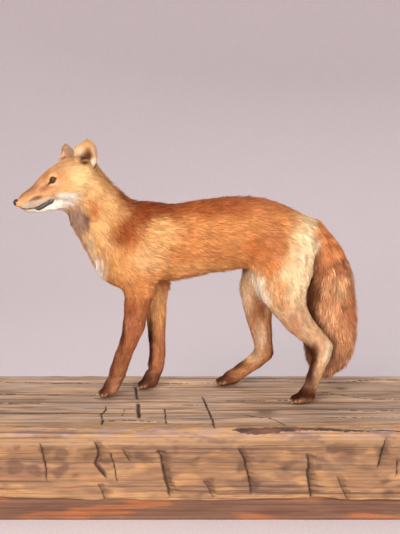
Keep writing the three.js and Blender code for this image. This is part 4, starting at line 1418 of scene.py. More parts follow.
# %% Growing the coat
BODY_WAYS = (1, 0.98, 0.16, 8, 0.4, 0.7)
COATS = {
    # bends, how high it stands, how wild it lies, size of a lock, pull into the lock, contrast
    "face": (0, 0.9, 0.14, 4, 0.2, 0.8),
    "ears": (0, 1.6, 0.3, 4, 0.2, 0.8),
    "neck": BODY_WAYS,
    "haunches": BODY_WAYS,
    "legs": (0, 0.8, 0.14, 5, 0.2, 0.8),
    "paws": (0, 0.8, 0.16, 3, 0.15, 0.8),
    "tail": (1, 1.05, 0.24, 9, 0.3, 0.5),
    "trunk_front": BODY_WAYS,
    "trunk_rear": BODY_WAYS,
}
thin = 1.0
for name, ways in COATS.items():
    finish_piece(build_coat("coat_" + name, region[name], thin, *ways), coat_material, "coat")

# %% [markdown]
# ## The eyes
# A glass eye is a ball with a clear dome over a painted iris. The dome is a slightly smaller ball set
# forward. Here the iris and the pupil are painted by the angle from the way the eye looks, and a clear
# coat stands for the glass.

# %% The eyes
def eye_ball(name, side):
    centre, look, level, upright = eye_frame(side)
    points, faces = ball((0, 0, 0), 1, 48, 64)
    angle = np.arccos(np.clip(points[:, 2], -1, 1))
    dome = 0.06 * np.exp(-((angle / 0.5) ** 2))
    place = centre + (points * (EYE_RADIUS - 0.35) * (1 + dome)[:, None]) @ np.array([level, upright, look])
    piece = add_piece(name, to_metres(place), faces)
    add_attribute(piece, "from_gaze", angle)
    return piece


eye_graph = Graph("glass_eye", Roughness=0.4, Coat_Weight=0.3, Coat_Roughness=0.03, Specular_IOR_Level=0.2)
angle = eye_graph.stored("from_gaze")
fibres = eye_graph.noise(900, 3)
iris = eye_graph.mix(fibres.between(0.35, 0.7), tint(66, 38, 22), tint(116, 72, 40))
iris = eye_graph.mix(angle.between(0.62, 0.76), iris, tint(26, 16, 11))
iris = eye_graph.mix(1 - angle.between(0.26, 0.32), iris, tint(6, 5, 5))
eye_material = eye_graph.set(Base_Color=eye_graph.mix(angle.between(0.86, 0.96), iris, tint(70, 52, 42)))
for name, side in (("eye_left", 1), ("eye_right", -1)):
    finish_piece(eye_ball("glass_" + name, side), eye_material, "eye", name)

# %% [markdown]
# ## The eyelids
# The lids are thin leather drawn over the glass, open in an almond that slants down to the nose. Each
# lid is a shell just outside the ball: its edge follows the almond, and its outer border sinks below
# the coat.

# %% The eyelids
LID_HALF_WIDTH = 1.05
LID_UPPER = 0.46
LID_LOWER = 0.42
LID_SLANT = -0.6
DARK_RIM = 0.24
ROUNDNESS = 1.5
LID_BORDER = 1.42
RINGS, SPOKES = 12, 72


def lid_edge(turn):
    """The almond's half size, as an angle from the gaze, at each turn round it."""
    level, tall = np.cos(turn), np.sin(turn)
    half_tall = np.where(tall > 0, LID_UPPER, LID_LOWER)
    squeeze = np.abs(level / LID_HALF_WIDTH) ** ROUNDNESS + np.abs(tall / half_tall) ** ROUNDNESS
    return 1 / squeeze ** (1 / ROUNDNESS)


def lid_rise(t):
    """How far the lid stands off the ball's middle: it swells past its edge, then sinks."""
    return EYE_RADIUS + 0.7 + 0.9 * math.sin(min(t * 3, 1) * math.pi / 2) - 2.6 * t**3


def eyelids(name, side):
    centre, look, level, upright = eye_frame(side)
    turn = np.arange(SPOKES) * 2 * math.pi / SPOKES
    edge = lid_edge(turn)
    from_corner = np.minimum(turn, 2 * math.pi - turn)
    dark = edge + DARK_RIM * (0.75 + 0.6 * np.cos(turn) ** 4) + 0.55 * np.exp(-((from_corner / 0.24) ** 2))
    points, rims = [], []
    for i in range(RINGS + 2):
        t = max(i - 1, 0) / RINGS
        reach = edge + (LID_BORDER - edge) * t
        radius = lid_rise(t) if i else EYE_RADIUS
        slanted = turn + LID_SLANT
        ray = (
            np.cos(reach)[:, None] * look
            + (np.sin(reach) * np.cos(slanted))[:, None] * level
            + (np.sin(reach) * np.sin(slanted))[:, None] * upright
        )
        points.append(centre + ray * radius)
        rims.append(reach / dark)
    points = np.concatenate(points)
    faces = []
    for i in range(RINGS + 1):
        for j in range(SPOKES):
            k = (j + 1) % SPOKES
            quad = [i * SPOKES + j, i * SPOKES + k, (i + 1) * SPOKES + k, (i + 1) * SPOKES + j]
            faces.append(quad if side > 0 else quad[::-1])
    piece = add_piece(name, to_metres(points), np.array(faces))
    add_attribute(piece, "from_edge", np.concatenate(rims))
    return piece


lid_graph = Graph("lid_leather", Roughness=0.6, Specular_IOR_Level=0.15)
rough = lid_graph.noise(700, 3)
haired = (lid_graph.stored("from_edge") + (rough - 0.5) * 0.1).between(0.9, 1.05)
lid_color = lid_graph.mix(haired, tint(40, 24, 18), tint(180, 116, 76))
lid_material = lid_graph.set(Base_Color=lid_color, Normal=lid_graph.bump(rough, 0.3, 0.0004))
for name, side in (("eyelids_left", 1), ("eyelids_right", -1)):
    finish_piece(eyelids(name, side), lid_material, "coat")

# %% [markdown]
# ## The nose pad
# The pad is bare, pebbled skin, broad above and split below by a groove, with a comma-shaped nostril
# on each side. It starts as a ball and is pressed into shape point by point.

# %% The nose pad
def nose_pad():
    points, faces = ball((0, 0, 0), 1, 64, 96)
    pad = points[:, [2, 0, 1]] * (7.2, 8.7, 7.2)
    pad[:, 0] += 7.0
    pad[:, 2] += -2.0
    front = np.clip((8 - pad[:, 0]) / 6, 0, 1)
    top = np.clip((pad[:, 2] + 1) / 5, 0, 1)
    pad[:, 1] *= 1 + 0.06 * top - 0.2 * np.clip((-pad[:, 2] - 3) / 5, 0, 1)
    groove = np.exp(-((pad[:, 1] / 0.8) ** 2)) * np.clip((0.5 - pad[:, 2]) / 3, 0, 1) * front
    pad[:, 0] += groove * 1.3
    for sign in (-1, 1):
        away = ((pad[:, 1] - sign * 3.9) / 1.7) ** 2 + ((pad[:, 2] + 1.6) / 1.5) ** 2
        below_slit = (pad[:, 2] + 3.4 + (np.abs(pad[:, 1]) - 5) * 0.3) / 0.7
        slit = ((pad[:, 1] - sign * 6.4) / 2.6) ** 2 + below_slit**2
        hole = np.maximum(np.exp(-away), 0.75 * np.exp(-slit)) * (pad[:, 0] < 9)
        pad += hole[:, None] * (np.array([9.0, sign * 3.2, -2.4]) - pad) * 0.42
    pebble = soft_noise(pad, 1.1, 3) * 0.05
    pad += (pad - np.array([7, 0, -2])) / 8 * pebble[:, None]
    return add_piece("nose_pad", to_metres(from_head(pad * (1, -1, 1))), faces)


nose_graph = Graph("nose_leather", Roughness=0.32)
pebbles = nose_graph.node("ShaderNodeTexVoronoi", {"Vector": nose_graph.place(), "Scale": 900.0})
nose_tone = nose_graph.mix(nose_graph.noise(120, 3), tint(22, 19, 20), tint(48, 42, 42))
nose_material = nose_graph.set(
    Base_Color=nose_tone, Roughness=0.28 + pebbles * 0.3, Normal=nose_graph.bump(pebbles, 0.5, 0.0004)
)
finish_piece(nose_pad(), nose_material, "nose", "nose")

# %% [markdown]
# ## Tubes along a line
# Lips, claws, whiskers and splits are all long thin things, thick in one place and fine in another. A
# curve with a bevel would do, but its section stays round. Here a ring of points is carried along the
# line, with its own breadth and height at each step.

# %% Tubes along a line
def sweep(line, sizes, sides=10, up=UPWARDS):
    """The points and faces of a closed tube, with its half sizes across and upwards at each point."""
    line, sizes = np.array(line, float), np.array(sizes, float)
    run = np.gradient(line, axis=0)
    run /= np.linalg.norm(run, axis=1)[:, None]
    flat = np.cross(run, up)
    flat /= np.linalg.norm(flat, axis=1)[:, None]
    tall = np.cross(flat, run)
    turn = np.arange(sides) * 2 * math.pi / sides
    points = [
        line[i] + flat[i] * sizes[i, 0] * math.cos(t) + tall[i] * sizes[i, 1] * math.sin(t)
        for i in range(len(line))
        for t in turn
    ]
    faces = [
        [i * sides + j, i * sides + (j + 1) % sides, (i + 1) * sides + (j + 1) % sides, (i + 1) * sides + j]
        for i in range(len(line) - 1)
        for j in range(sides)
    ]
    faces += [list(range(sides))[::-1], [(len(line) - 1) * sides + j for j in range(sides)]]
    return np.array(points), faces


def join_meshes(parts):
    """Several lists of points and faces as one."""
    points, faces, start = [], [], 0
    for part_points, part_faces in parts:
        points.append(part_points)
        faces += [[start + corner for corner in face] for face in part_faces]
        start += len(part_points)
    return np.concatenate(points), faces


def add_swept(name, parts, material, slot):
    points, faces = join_meshes(parts)
    finish_piece(add_piece(name, to_metres(points), faces), material, slot)


def evenly(line, count):
    """Evenly spaced points along a line."""
    gone = np.concatenate([[0], np.cumsum(np.linalg.norm(np.diff(line, axis=0), axis=1))])
    even = np.linspace(0, gone[-1], count)
    return np.stack([np.interp(even, gone, line[:, k]) for k in range(3)], axis=1)


def fair(line, count):
    """A smooth line of evenly spaced points through a few given ones."""
    fine = evenly(np.array(line, float), count)
    for _ in range(max(count // 10, 1) * 3):
        fine[1:-1] += 0.5 * ((fine[2:] + fine[:-2]) / 2 - fine[1:-1])
    return fine


def surface_at(head_points, lift):
    """Points in head measures, set onto the skin with a lift."""
    return conform(from_head(head_points), np.full(len(head_points), lift))


# %% [markdown]
# ## The lips
# The lips are black leather. They show as a thin line under the whisker pads and swell into a loose
# pleated band at the corner of the mouth. Two tubes lie along the slit: a broad one below and a fine
# one above.

# %% The lips
lip_graph = Graph("lip_leather", Roughness=0.3, Coat_Weight=0.25, Coat_Roughness=0.2)
wrinkle = lip_graph.noise(600, 3, lip_graph.place((1.6, 1, 0.6)))
lip_material = lip_graph.set(
    Base_Color=lip_graph.mix(wrinkle.between(0.3, 0.75), tint(20, 15, 15), tint(58, 46, 44)),
    Normal=lip_graph.bump(wrinkle, 0.6, 0.0006),
)
mouth_fair = fair(MOUTH_LINE, 70)
for name, side in (("left", 1), ("right", -1)):
    line = mouth_fair * (1, side, 1)
    t = np.linspace(0, 1, len(line))
    swell = np.clip((t - 0.42) / 0.12, 0, 1) * np.clip((1.04 - t) / 0.13, 0, 1)
    swell = swell * swell * (3 - 2 * swell)
    pleat = 1 + 0.06 * np.sin(t * 80) * swell
    lower = surface_at(line - np.array([0, 0, 1]) * (0.7 + 2.9 * swell)[:, None], 0.3)
    lower_sizes = np.stack([(0.9 + 1.1 * swell) * pleat, (0.8 + 3.0 * swell) * pleat], axis=1)
    upper = surface_at(line + np.array([0, 0, 1]) * (0.3 + 0.5 * swell)[:, None], 0.5)
    upper_sizes = np.full((len(line), 2), 0.8)
    parts = [sweep(lower, lower_sizes, 14), sweep(upper, upper_sizes)]
    add_swept("lips_" + name, parts, lip_material, "nose")

# %% [markdown]
# ## The corners of the eyes
# In front of each eye the dark rim runs on towards the nose in a narrow bare crease. It is a slender
# leather strip laid on the skin, thick at the eye and fine at its end.

# %% The corners of the eyes
for name, side in (("left", 1), ("right", -1)):
    crease = fair([(85, 22 * side, 10.9), (80.5, 21 * side, 9.6), (75.5, 19 * side, 8.0)], 16)
    t = np.linspace(0, 1, 16)
    sizes = np.stack([1.0 - 0.5 * t, 2.0 - 1.3 * t], axis=1)
    laid = conform(from_head(crease), 0.8 - 0.5 * t)
    add_swept("eye_corner_" + name, [sweep(laid, sizes)], lid_material, "coat")

# %% [markdown]
# ## Claws
# A fox's claws are blunt horn that does not draw in. Each is a curved cone from the end of its toe.

# %% Claws
CLAW_STEPS = 9
OUTER_SHORTFALL = 6.5
claw_graph = Graph("claw_horn", Roughness=0.35)
streaks = claw_graph.noise(500, 3, claw_graph.place((0.3, 1, 1)))
claw_material = claw_graph.set(
    Base_Color=claw_graph.mix(streaks.between(0.3, 0.7), tint(84, 66, 52), tint(206, 178, 146)),
    Normal=claw_graph.bump(streaks, 0.3, 0.0003),
)


def claw_lines(toe, middle, outer):
    """The lines of a paw's four claws: the outer toes end a little short of the inner ones."""
    for i in range(4):
        side = 2 * i / 3 - 1
        shortfall = OUTER_SHORTFALL * abs(side) ** 1.5
        start = np.array([toe + shortfall + 4.5, middle + side * outer, 6.6])
        t = np.linspace(0, 1, CLAW_STEPS)[:, None]
        yield start + t * np.array([-8.5, side * 0.8, -1.2]) + t * t * np.array([0.5, 0, -3.4])


taper = (1 - np.linspace(0, 1, CLAW_STEPS) ** 1.6) * 0.93 + 0.07
claw_sizes = np.stack([1.15 * taper, 1.5 * taper], axis=1)
for paw, (toe, middle, _) in PAWS.items():
    claws = [sweep(line, claw_sizes) for line in claw_lines(toe, middle, OUTER_TOE[paw])]
    add_swept("claws_" + paw, claws, claw_material, "claw")

# %% [markdown]
# ## Whiskers
# Whiskers are stiff black hairs that grow in rows from the pad behind the nose, and sweep back.

# %% Whiskers
whisker_graph = Graph("whisker_hair", Roughness=0.4)
whisker_material = whisker_graph.set(
    Base_Color=whisker_graph.mix(whisker_graph.noise(300, 2), tint(26, 20, 18), tint(70, 52, 42))
)
for name, side in (("left", 1), ("right", -1)):
    strands = []
    for row in range(3):
        for place in range(5):
            root = np.array([[17 + place * 5.5 + row * 1.5, 14 * side, -7 - row * 4.2]])
            base = surface_at(root, 0.2)[0]
            out = (0.62 + 0.06 * place, side * (0.72 - 0.05 * place), -0.28 + 0.16 * (1 - row))
            out = np.array(out) @ HEAD_AXES
            length = 24 + 5 * place + rng.uniform(-4, 4)
            t = np.linspace(0, 1, 8)[:, None]
            strands.append(base + out * length * t + t * t * (BACKWARDS * 7 - UPWARDS * 3))
    taper = np.linspace(0.16, 0.04, 8)[:, None] * np.ones((1, 2))
    add_swept("whiskers_" + name, [sweep(line, taper, 5) for line in strands], whisker_material, "nose")

# %% [markdown]
# ## The timber
# The beam was squared with an axe. Its top is weathered and split along the grain, its front keeps
# the shallow scallops and the score marks of hewing, and a smooth strip of the old surface runs along
# its foot. A swept section can't show those marks, so a close net of points is pushed in and out.

# %% The timber
LONG = 1000 * (timber_high.x - timber_low.x)
DEEP = 1000 * (timber_high.y - timber_low.y)
HIGH = 1000 * timber_high.z
FRONT = -SPINE_BEHIND_FRONT
BACK = FRONT + DEEP
FINE, MIDDLING, COARSE = 2.5, 3.6, 14
TOP_EDGE = FRONT + 19


def section_line():
    """The section's outline in fox y and z: up the back, over the top, down the front and under."""
    corners = [
        # y, z, and the step to the next corner
        (BACK, -HIGH, COARSE),
        (BACK, -8, MIDDLING),
        (BACK - 8, 0, MIDDLING),
        (TOP_EDGE + 30, 0, FINE),
        (TOP_EDGE, 0, FINE),
        (FRONT + 9, -6, FINE),
        (FRONT + 2, -20, FINE),
        (FRONT, -45, FINE),
        (FRONT, -HIGH, COARSE),
    ]
    rows = []
    for (y0, z0, step), (y1, z1, _) in zip(corners, corners[1:] + corners[:1]):
        count = max(round(math.hypot(y1 - y0, z1 - z0) / step), 1)
        t = np.arange(count)[:, None] / count
        rows.append((1 - t) * (y0, z0) + t * (y1, z1))
    return np.concatenate(rows)


outline = section_line()
along = np.linspace(-LONG / 2, LONG / 2, round(LONG / FINE) + 1)
beam = np.empty((len(along), len(outline), 3))
beam[:, :, 0], beam[:, :, 1:] = along[:, None], outline
beam = beam.reshape(-1, 3)
ways = np.roll(outline, -1, 0) - np.roll(outline, 1, 0)
inward = np.stack([ways[:, 1], -ways[:, 0]], axis=1)
inward *= np.sign(((np.array([(FRONT + BACK) / 2, -HIGH / 2]) - outline) * inward).sum(1))[:, None]
inward /= np.linalg.norm(inward, axis=1)[:, None]
inward = np.concatenate([np.zeros((len(beam), 1)), np.tile(inward, (len(along), 1))], axis=1)
bx, by, bz = beam.T
print("timber points:", len(beam))

# %% [markdown]
# ## Marks of the axe and of drying
# Drying splits run along the grain on top. Score marks were cut across the face before the wood
# between them was split away, so each has a chip beside it. All of them are lines of points on the
# beam, each with a width, a depth and the depth of its chip.

# %% Marks of the axe and of drying
SCORES = [
    # width, depth, chip, then x and z down the face
    (1.9, 6, 1, [(-302, -22), (-298, -39), (-293, -70), (-291, -102)]),
    (2.0, 6, 4, [(-200, -21), (-193, -34), (-191, -50), (-199, -67), (-191, -81), (-177, -98)]),
    (1.6, 5, 0, [(-170, -44), (-166, -59), (-161, -81), (-158, -104)]),
    (2.0, 6, 6, [(-84, -41), (-75, -46), (-72, -66), (-67, -90), (-61, -115), (-58, -134)]),
    (1.8, 4, 3, [(-146, -38), (-140, -50), (-132, -62)]),
    (1.6, 2, 3, [(-193, -109), (-186, -122), (-183, -142)]),
    (1.9, 6, 4, [(71, -32), (84, -59), (90, -84), (95, -110), (97, -130)]),
    (1.9, 6, 5, [(200, -46), (205, -64), (203, -92), (207, -113), (211, -140)]),
    (2.0, 6, 3, [(350, -12), (346, -30), (340, -52), (335, -74)]),
    (1.5, 4, 2, [(374, -57), (371, -75), (371, -94)]),
    (1.6, 2, 3, [(258, -92), (272, -122), (281, -142)]),
    (1.6, 2, 3, [(6, -101), (17, -117), (25, -134)]),
    (1.8, 5, 4, [(-418, -34), (-408, -70), (-402, -112)]),
    (1.8, 5, 4, [(446, -30), (436, -72), (434, -118)]),
]
SPLITS = [
    # width, depth, then x and y on the top
    (1.7, 4, [(-490, 78), (-289, 65), (-144, 60), (0, 62), (31, 62), (93, 95), (150, 104)]),
    (1.6, 4, [(150, 78), (242, 70), (315, 74), (380, 90), (490, 84)]),
    (1.3, 3, [(-490, 2), (-419, -5), (-348, -12), (-220, -17)]),
    (1.2, 2, [(-230, -36), (-131, -37)]),
    (1.3, 2.5, [(-203, -173), (-186, -167), (-129, -161), (-60, -177)]),
    (1.2, 2, [(-54, -74), (70, -77)]),
    (1.4, 3, [(230, 2), (271, -1), (344, -37), (490, -50)]),
    (1.3, 2.5, [(230, -100), (331, -111), (490, -98)]),
    (1.2, 2, [(-490, -62), (-260, -66)]),
    (1.2, 2, [(-490, -124), (-240, -128)]),
    (1.2, 2, [(40, -52), (190, -46)]),
    (1.2, 2, [(190, -150), (400, -146)]),
    (3.4, 6, [(-140, 52), (-133, -1), (-129, -42)]),
    (4.4, 7, [(-127, -62), (-122, -111), (-118, -152)]),
    (1.9, 5, [(-190, -78), (-188, -101), (-195, -130), (-189, -160), (-188, -190)]),
    (1.4, 2, [(-150, -94), (-153, -143)]),
    (1.6, 5, [(-71, -91), (-69, -130), (-65, -182)]),
    (2.4, 6, [(5, -23), (18, -111), (24, -161), (28, -208)]),
    (1.7, 3, [(81, -130), (113, -146), (138, -152), (157, -179), (166, -194)]),
]
KNOTS = [(129, -117, 17), (-330, -40, 10), (300, 30, 12)]
EDGE_SPLIT = (3.0, 5, [(225, -205, -2), (303, -210, -7), (345, -208, -5), (420, -212, -8), (490, -210, -8)])
print("scores:", len(SCORES), "splits:", len(SPLITS), "knots:", len(KNOTS))

# %% [markdown]
# ## Cutting the marks
# A split never runs straight, so each line is broken into short steps that wander. Every point of the
# net then goes in by how near it lies to a line, and beside a score mark by its chip as well.

# %% Cutting the marks
def wavering(line, step=4.0, amount=0.5):
    """A line broken into short steps that wander a little, as a split does."""
    line = np.array(line, float)
    count = max(int(np.linalg.norm(np.diff(line, axis=0), axis=1).sum() / step), 4)
    line = evenly(line, count)
    wander = np.cumsum(rng.normal(0, amount * 0.5, (count, 2)), axis=0)
    wander -= np.linspace(0, 1, count)[:, None] * wander[-1]
    run = line[-1] - line[0]
    across = np.cross(run, (0, 0, 1.0))
    across = across / np.linalg.norm(across) if abs(run[2]) < 30 else np.array([1.0, 0, 0])
    jag = rng.normal(0, amount * 0.9, (count, 1))
    jag[[0, -1]] = 0
    return line + across * (wander[:, :1] + jag)


lines = []
for width, deep, line in SPLITS:
    lines.append((width, deep, 0, wavering([(px, py, 0) for px, py in line])))
for width, deep, chip, line in SCORES:
    lines.append((width, deep, chip, wavering([(px, FRONT, pz) for px, pz in line])))
lines.append((EDGE_SPLIT[0], EDGE_SPLIT[1], 0, wavering(EDGE_SPLIT[2])))
grooves = np.zeros(len(beam))
for width, deep, chip, line in lines:
    low, high = line.min(0) - 40, line.max(0) + 40
    near = np.where(((beam > low) & (beam < high)).all(1))[0]
    foot, along_line, away = onto_line(beam[near], line)
    ends = np.clip(np.minimum(along_line, 1 - along_line) * 8 + 0.15, 0, 1)
    grooves[near] += deep * ends * np.exp(-((away / (0.62 * width)) ** 2))
    if chip:
        ahead = beam[near, 0] - foot[:, 0]
        side_on = (ahead > 0) & (np.abs(beam[near, 2] - foot[:, 2]) < 4)
        grooves[near] += chip * ends * side_on * np.exp(-((np.abs(ahead) / 17) ** 1.5))
print("splits and scores:", len(lines))

# %% [markdown]
# ## The hewn surface
# An axe leaves long shallow scallops, weather leaves the harder fibres standing, and the rounded edge
# keeps the form of the tree. Soft waves, drawn out along the grain, give all three. The surface is
# carved twice, with and without the marks, and other pieces are laid on the plain one.

# %% The hewn surface
FOOT_TOP, DEEPEST_CUT = -139, 14
down = (TOP_EDGE - by) - bz
front_side = by < TOP_EDGE + 1
lengthwise = beam * (1, 0, 0)
foot_edge = FOOT_TOP - 5 * soft_noise(lengthwise, 300, 70) - 2 * soft_noise(lengthwise, 90, 71)
in_foot = front_side * np.clip((foot_edge - bz) / 3 + 0.5, 0, 1)
in_hewn = front_side * np.clip((down - 44) / 10, 0, 1) * (1 - in_foot)
in_wane = np.clip((down + 26) / 7, 0, 1) * np.clip((52 - down) / 12, 0, 1) * (by < TOP_EDGE + 30)
scallop = soft_noise(beam * (1, 1, 0.8), 110, 72) * 1.8 + soft_noise(beam * (0.6, 1, 1.3), 38, 73) * 1.1
fibres = soft_noise(beam * (0.12, 1, 1), 9, 74) * 0.3 + soft_noise(beam * (0.09, 1, 1), 5, 75) * 0.2
cut_in = in_hewn * (3.0 + scallop + fibres * 1.5)
cut_in += in_foot * (10.5 + soft_noise(beam * (0.3, 1, 1), 40, 76) * 1.4)
wane_waves = 0.9 + soft_noise(beam * (0.35, 1, 1), 22, 77) * 0.7
wane_waves += soft_noise(beam * (0.5, 1, 1), 9, 78) * 0.35
cut_in += in_wane * wane_waves
on_top = (1 - front_side) * (bz > -1) * (by < BACK - 6)
cut_in += on_top * (0.75 + fibres * 0.9)
for knot_x, knot_y, size in KNOTS:
    away = np.hypot((bx - knot_x) / 1.3, by - knot_y) / size
    cut_in += on_top * np.exp(-((away * 1.6) ** 2)) * (1.6 + 0.8 * np.sin(away * 14))
standing = bz < -HIGH + 0.5


def carved_beam(cut_in):
    carved = beam + inward * (np.clip(cut_in, 0, DEEPEST_CUT) * ~(standing & ~front_side))[:, None]
    carved[standing, 2] = -HIGH
    return carved


plain = carved_beam(cut_in)
surface = carved_beam(cut_in + grooves)
rows, columns = len(outline), len(along)
index = np.arange(columns * rows).reshape(columns, rows)
ahead = np.roll(index, -1, axis=1)
quads = np.stack([index[:-1], ahead[:-1], ahead[1:], index[1:]], axis=2).reshape(-1, 4)
timber = add_piece("timber", to_metres(surface), quads)
print("hewn:", (cut_in + grooves).max().round(1), "mm at most")

# %% [markdown]
# ## The timber's colours
# Weather greys the top; the rounded edge, once under the bark, stays pale; the hewn face is tan with
# brown stains, and the foot is darker. The regions and stains are painted on the points, with the
# same soft waves that shaped them, and fine fibre is left to the material.

# %% The timber's colours
def lay(colors, share, color):
    return colors + np.clip(share, 0, 1)[:, None] * (np.array(tint(*color)) - colors)


def stain(size, seed, low, high, stretch=(0.3, 1, 1)):
    """Soft patches drawn out along the grain."""
    rough = soft_noise(beam * stretch, size, seed) + 0.5 * soft_noise(beam * stretch, size * 0.4, seed + 1)
    return np.clip((rough - low) / (high - low), 0, 1)


grey_band = np.clip((down + 2) / 6, 0, 1) * np.clip((34 - down) / 8, 0, 1)
low_edge = np.clip((bz - foot_edge + 1) / 3, 0, 1) * np.clip((foot_edge + 16 - bz) / 12, 0, 1)
LAYERS = [
    # where, colour
    (on_top * stain(26, 100, -0.2, 0.9, (0.12, 1, 1)) * 0.45, (156, 128, 110)),
    (on_top * stain(40, 102, 0.3, 1.0, (0.1, 1, 1)) * 0.5, (206, 166, 134)),
    (on_top * stain(90, 104, 0.2, 0.9) * 0.35, (150, 134, 126)),
    (on_top * stain(15, 120, 0.35, 0.9, (0.07, 1, 1)) * 0.6, (112, 84, 68)),
    (on_top * stain(12, 122, 0.5, 1.1, (0.05, 1, 1)) * 0.6, (206, 172, 146)),
    (in_wane, (168, 130, 94)),
    (in_wane * grey_band * stain(24, 106, -0.5, 0.35) * 0.75, (150, 124, 114)),
    (in_wane * stain(12, 108, 0.3, 0.9, (0.2, 1, 1)) * 0.6, (122, 92, 80)),
    (in_hewn, (148, 110, 80)),
    (in_hewn * stain(60, 110, -0.1, 0.9, (0.5, 1, 1)) * 0.6, (120, 92, 76)),
    (in_hewn * stain(34, 112, 0.35, 1.0, (0.4, 1, 1)) * 0.65, (88, 62, 50)),
    (in_hewn * stain(46, 114, 0.25, 0.9, (0.4, 1, 1)) * 0.5, (188, 140, 92)),
    (in_hewn * low_edge * 0.6, (204, 158, 108)),
    (in_foot, (118, 84, 66)),
    (in_foot * stain(26, 116, 0.0, 0.8, (0.12, 1, 1)) * 0.6, (100, 70, 56)),
    (in_foot * stain(30, 118, 0.35, 0.9, (0.12, 1, 1)) * 0.6, (176, 104, 62)),
]
wood_paint = np.tile(np.array(tint(168, 138, 110)), (len(beam), 1))
for share, color in LAYERS:
    wood_paint = lay(wood_paint, share, color)
for knot_x, knot_y, size in KNOTS:
    away = np.hypot((bx - knot_x) / 1.3, by - knot_y) / size
    wood_paint = lay(wood_paint, on_top * np.exp(-((away * 1.2) ** 2)) * 0.75, (92, 66, 58))
# painted shade: the splits, scores and chips are darkened by how deep they are cut
wood_paint = lay(wood_paint, np.clip((grooves - 0.6) / 5, 0, 0.7), (84, 58, 45))
add_attribute(timber, "wood_tint", wood_paint, "FLOAT_COLOR")
add_attribute(timber, "wood_wear", 0.5 + 0.5 * in_hewn + 0.1 * in_wane)
print("mean colour of the timber:", wood_paint.mean(0).round(3))

# %% [markdown]
# ## The timber's finish
# The painted colours are soft. The material adds what is too fine for the points: bands and fibres
# along the grain, hairline cracks, and small worn and stained patches on the hewn face.

# %% The timber's finish
wood = Graph("hewn_timber", Roughness=0.8, Specular_IOR_Level=0.2)
wear = wood.stored("wood_wear")
bands = wood.noise(1, 4, wood.place((0.9, 26, 60)), 0.6, 0.4)
fibre = wood.noise(1, 6, wood.place((2.4, 70, 210)), 0.72)
hairline = wood.noise(1, 5, wood.place((1.8, 50, 200)), 0.6)
patches = wood.noise(1, 6, wood.place((7, 20, 26)), 0.66, 1.2)
stains = wood.noise(1, 6, wood.place((5, 14, 19)), 0.7, 1.6)
grain = 0.56 + bands.between(0.3, 0.7) * 0.34 + fibre.between(0.3, 0.7) * 0.5
wood_color = wood.shade(wood.stored("wood_tint", color=True), grain)
wood_color = wood.mix((1 - patches).between(0.5, 0.75) * wear * 0.28, wood_color, tint(222, 174, 120))
wood_color = wood.mix(patches.between(0.5, 0.72) * wear * 0.55, wood_color, tint(118, 86, 66))
wood_color = wood.mix(stains.between(0.55, 0.7) * wear * 0.6, wood_color, tint(96, 66, 54))
wood_color = wood.mix(hairline.between(0.56, 0.64) * 0.65, wood_color, tint(84, 60, 50))
timber_material = wood.set(
    Base_Color=wood_color, Roughness=0.66 + fibre * 0.3, Normal=wood.bump(fibre + bands, 0.8, 0.002)
)
finish_piece(timber, timber_material, "timber", "base_timber")

# %% [markdown]
# ## Painted shade in the splits
# The net of points is too coarse to shade the bottom of a narrow split. A thin dark strip of painted
# shade is laid in each groove, just under the surface, and tapers out at both ends.

# %% Painted shade in the splits
surface_tree = tree_of(plain, quads)


def laid_on_timber(line, lift):
    found = [surface_tree.find_nearest(Vector(p)) for p in line]
    laid, outward = (np.array([place[k] for place in found]) for k in (0, 1))
    outward *= np.sign((outward * (line - (0, (FRONT + BACK) / 2, -HIGH / 2))).sum(1))[:, None]
    return laid + outward * lift


shadow_strips = []
for width, deep, chip, line in lines:
    t = np.linspace(0, 1, len(line))
    taper = np.minimum(np.minimum(t, 1 - t) * 6, 1) ** 0.6 * (1 + 0.3 * soft_noise(line, 30, 60))
    up = (0, -1.0, 0) if chip or abs(line[0, 1] - FRONT) < 1 else (0, -0.3, 1.0)
    sizes = np.stack([width * 0.22 * taper + 0.1, np.full(len(line), deep * 0.4)], axis=1)
    shadow_strips.append(sweep(laid_on_timber(line, -deep * 0.38), sizes, 6, up))
split_shadow_graph = Graph("painted_split_shade", Roughness=0.95)
split_shadow_tone = split_shadow_graph.mix(split_shadow_graph.noise(60, 3), tint(54, 38, 29), tint(92, 66, 50))
split_shadow_material = split_shadow_graph.set(Base_Color=split_shadow_tone)
add_swept("timber_split_shadows", shadow_strips, split_shadow_material, "timber")

# %% [markdown]
# ## A strip of bark
# One long sliver of bark was left on the rounded edge. It is a flat tube with a ragged width, laid on
# the plain surface as the strips of painted shade are.

# %% A strip of bark
BARK_LINE = [(60, -210, -1), (104, -210, -2), (150, -209, -2)]
BARK_LINE += [(200, -207, -2), (250, -208, -3), (310, -209, -5)]
bark_line = wavering(BARK_LINE, 3.0, 0.7)
t = np.linspace(0, 1, len(bark_line))
taper = np.minimum(np.minimum(t * 12, (1 - t) * 1.6), 1)
ragged = 1 + 0.25 * soft_noise(bark_line, 16, 90)
bark_sizes = np.stack([5.2 * taper * ragged + 0.4, 1.3 * taper + 0.3], axis=1)
bark = sweep(laid_on_timber(bark_line, 0.2), bark_sizes, 14, (0, -0.7, 0.7))
bark_graph = Graph("bark_strip", Roughness=0.9)
flakes = bark_graph.noise(90, 4, bark_graph.place((0.4, 1.5, 1.5)))
bark_material = bark_graph.set(
    Base_Color=bark_graph.mix(flakes.between(0.3, 0.7), tint(58, 36, 28), tint(104, 68, 50)),
    Normal=bark_graph.bump(flakes, 0.8, 0.002),
)
add_swept("bark_strip", [bark], bark_material, "timber")

# %% [markdown]
# ## End grain
# The sawn ends show the rings around the heart, crossed by drying splits. They are drawn by the
# distance from the heart, bent a little by noise.

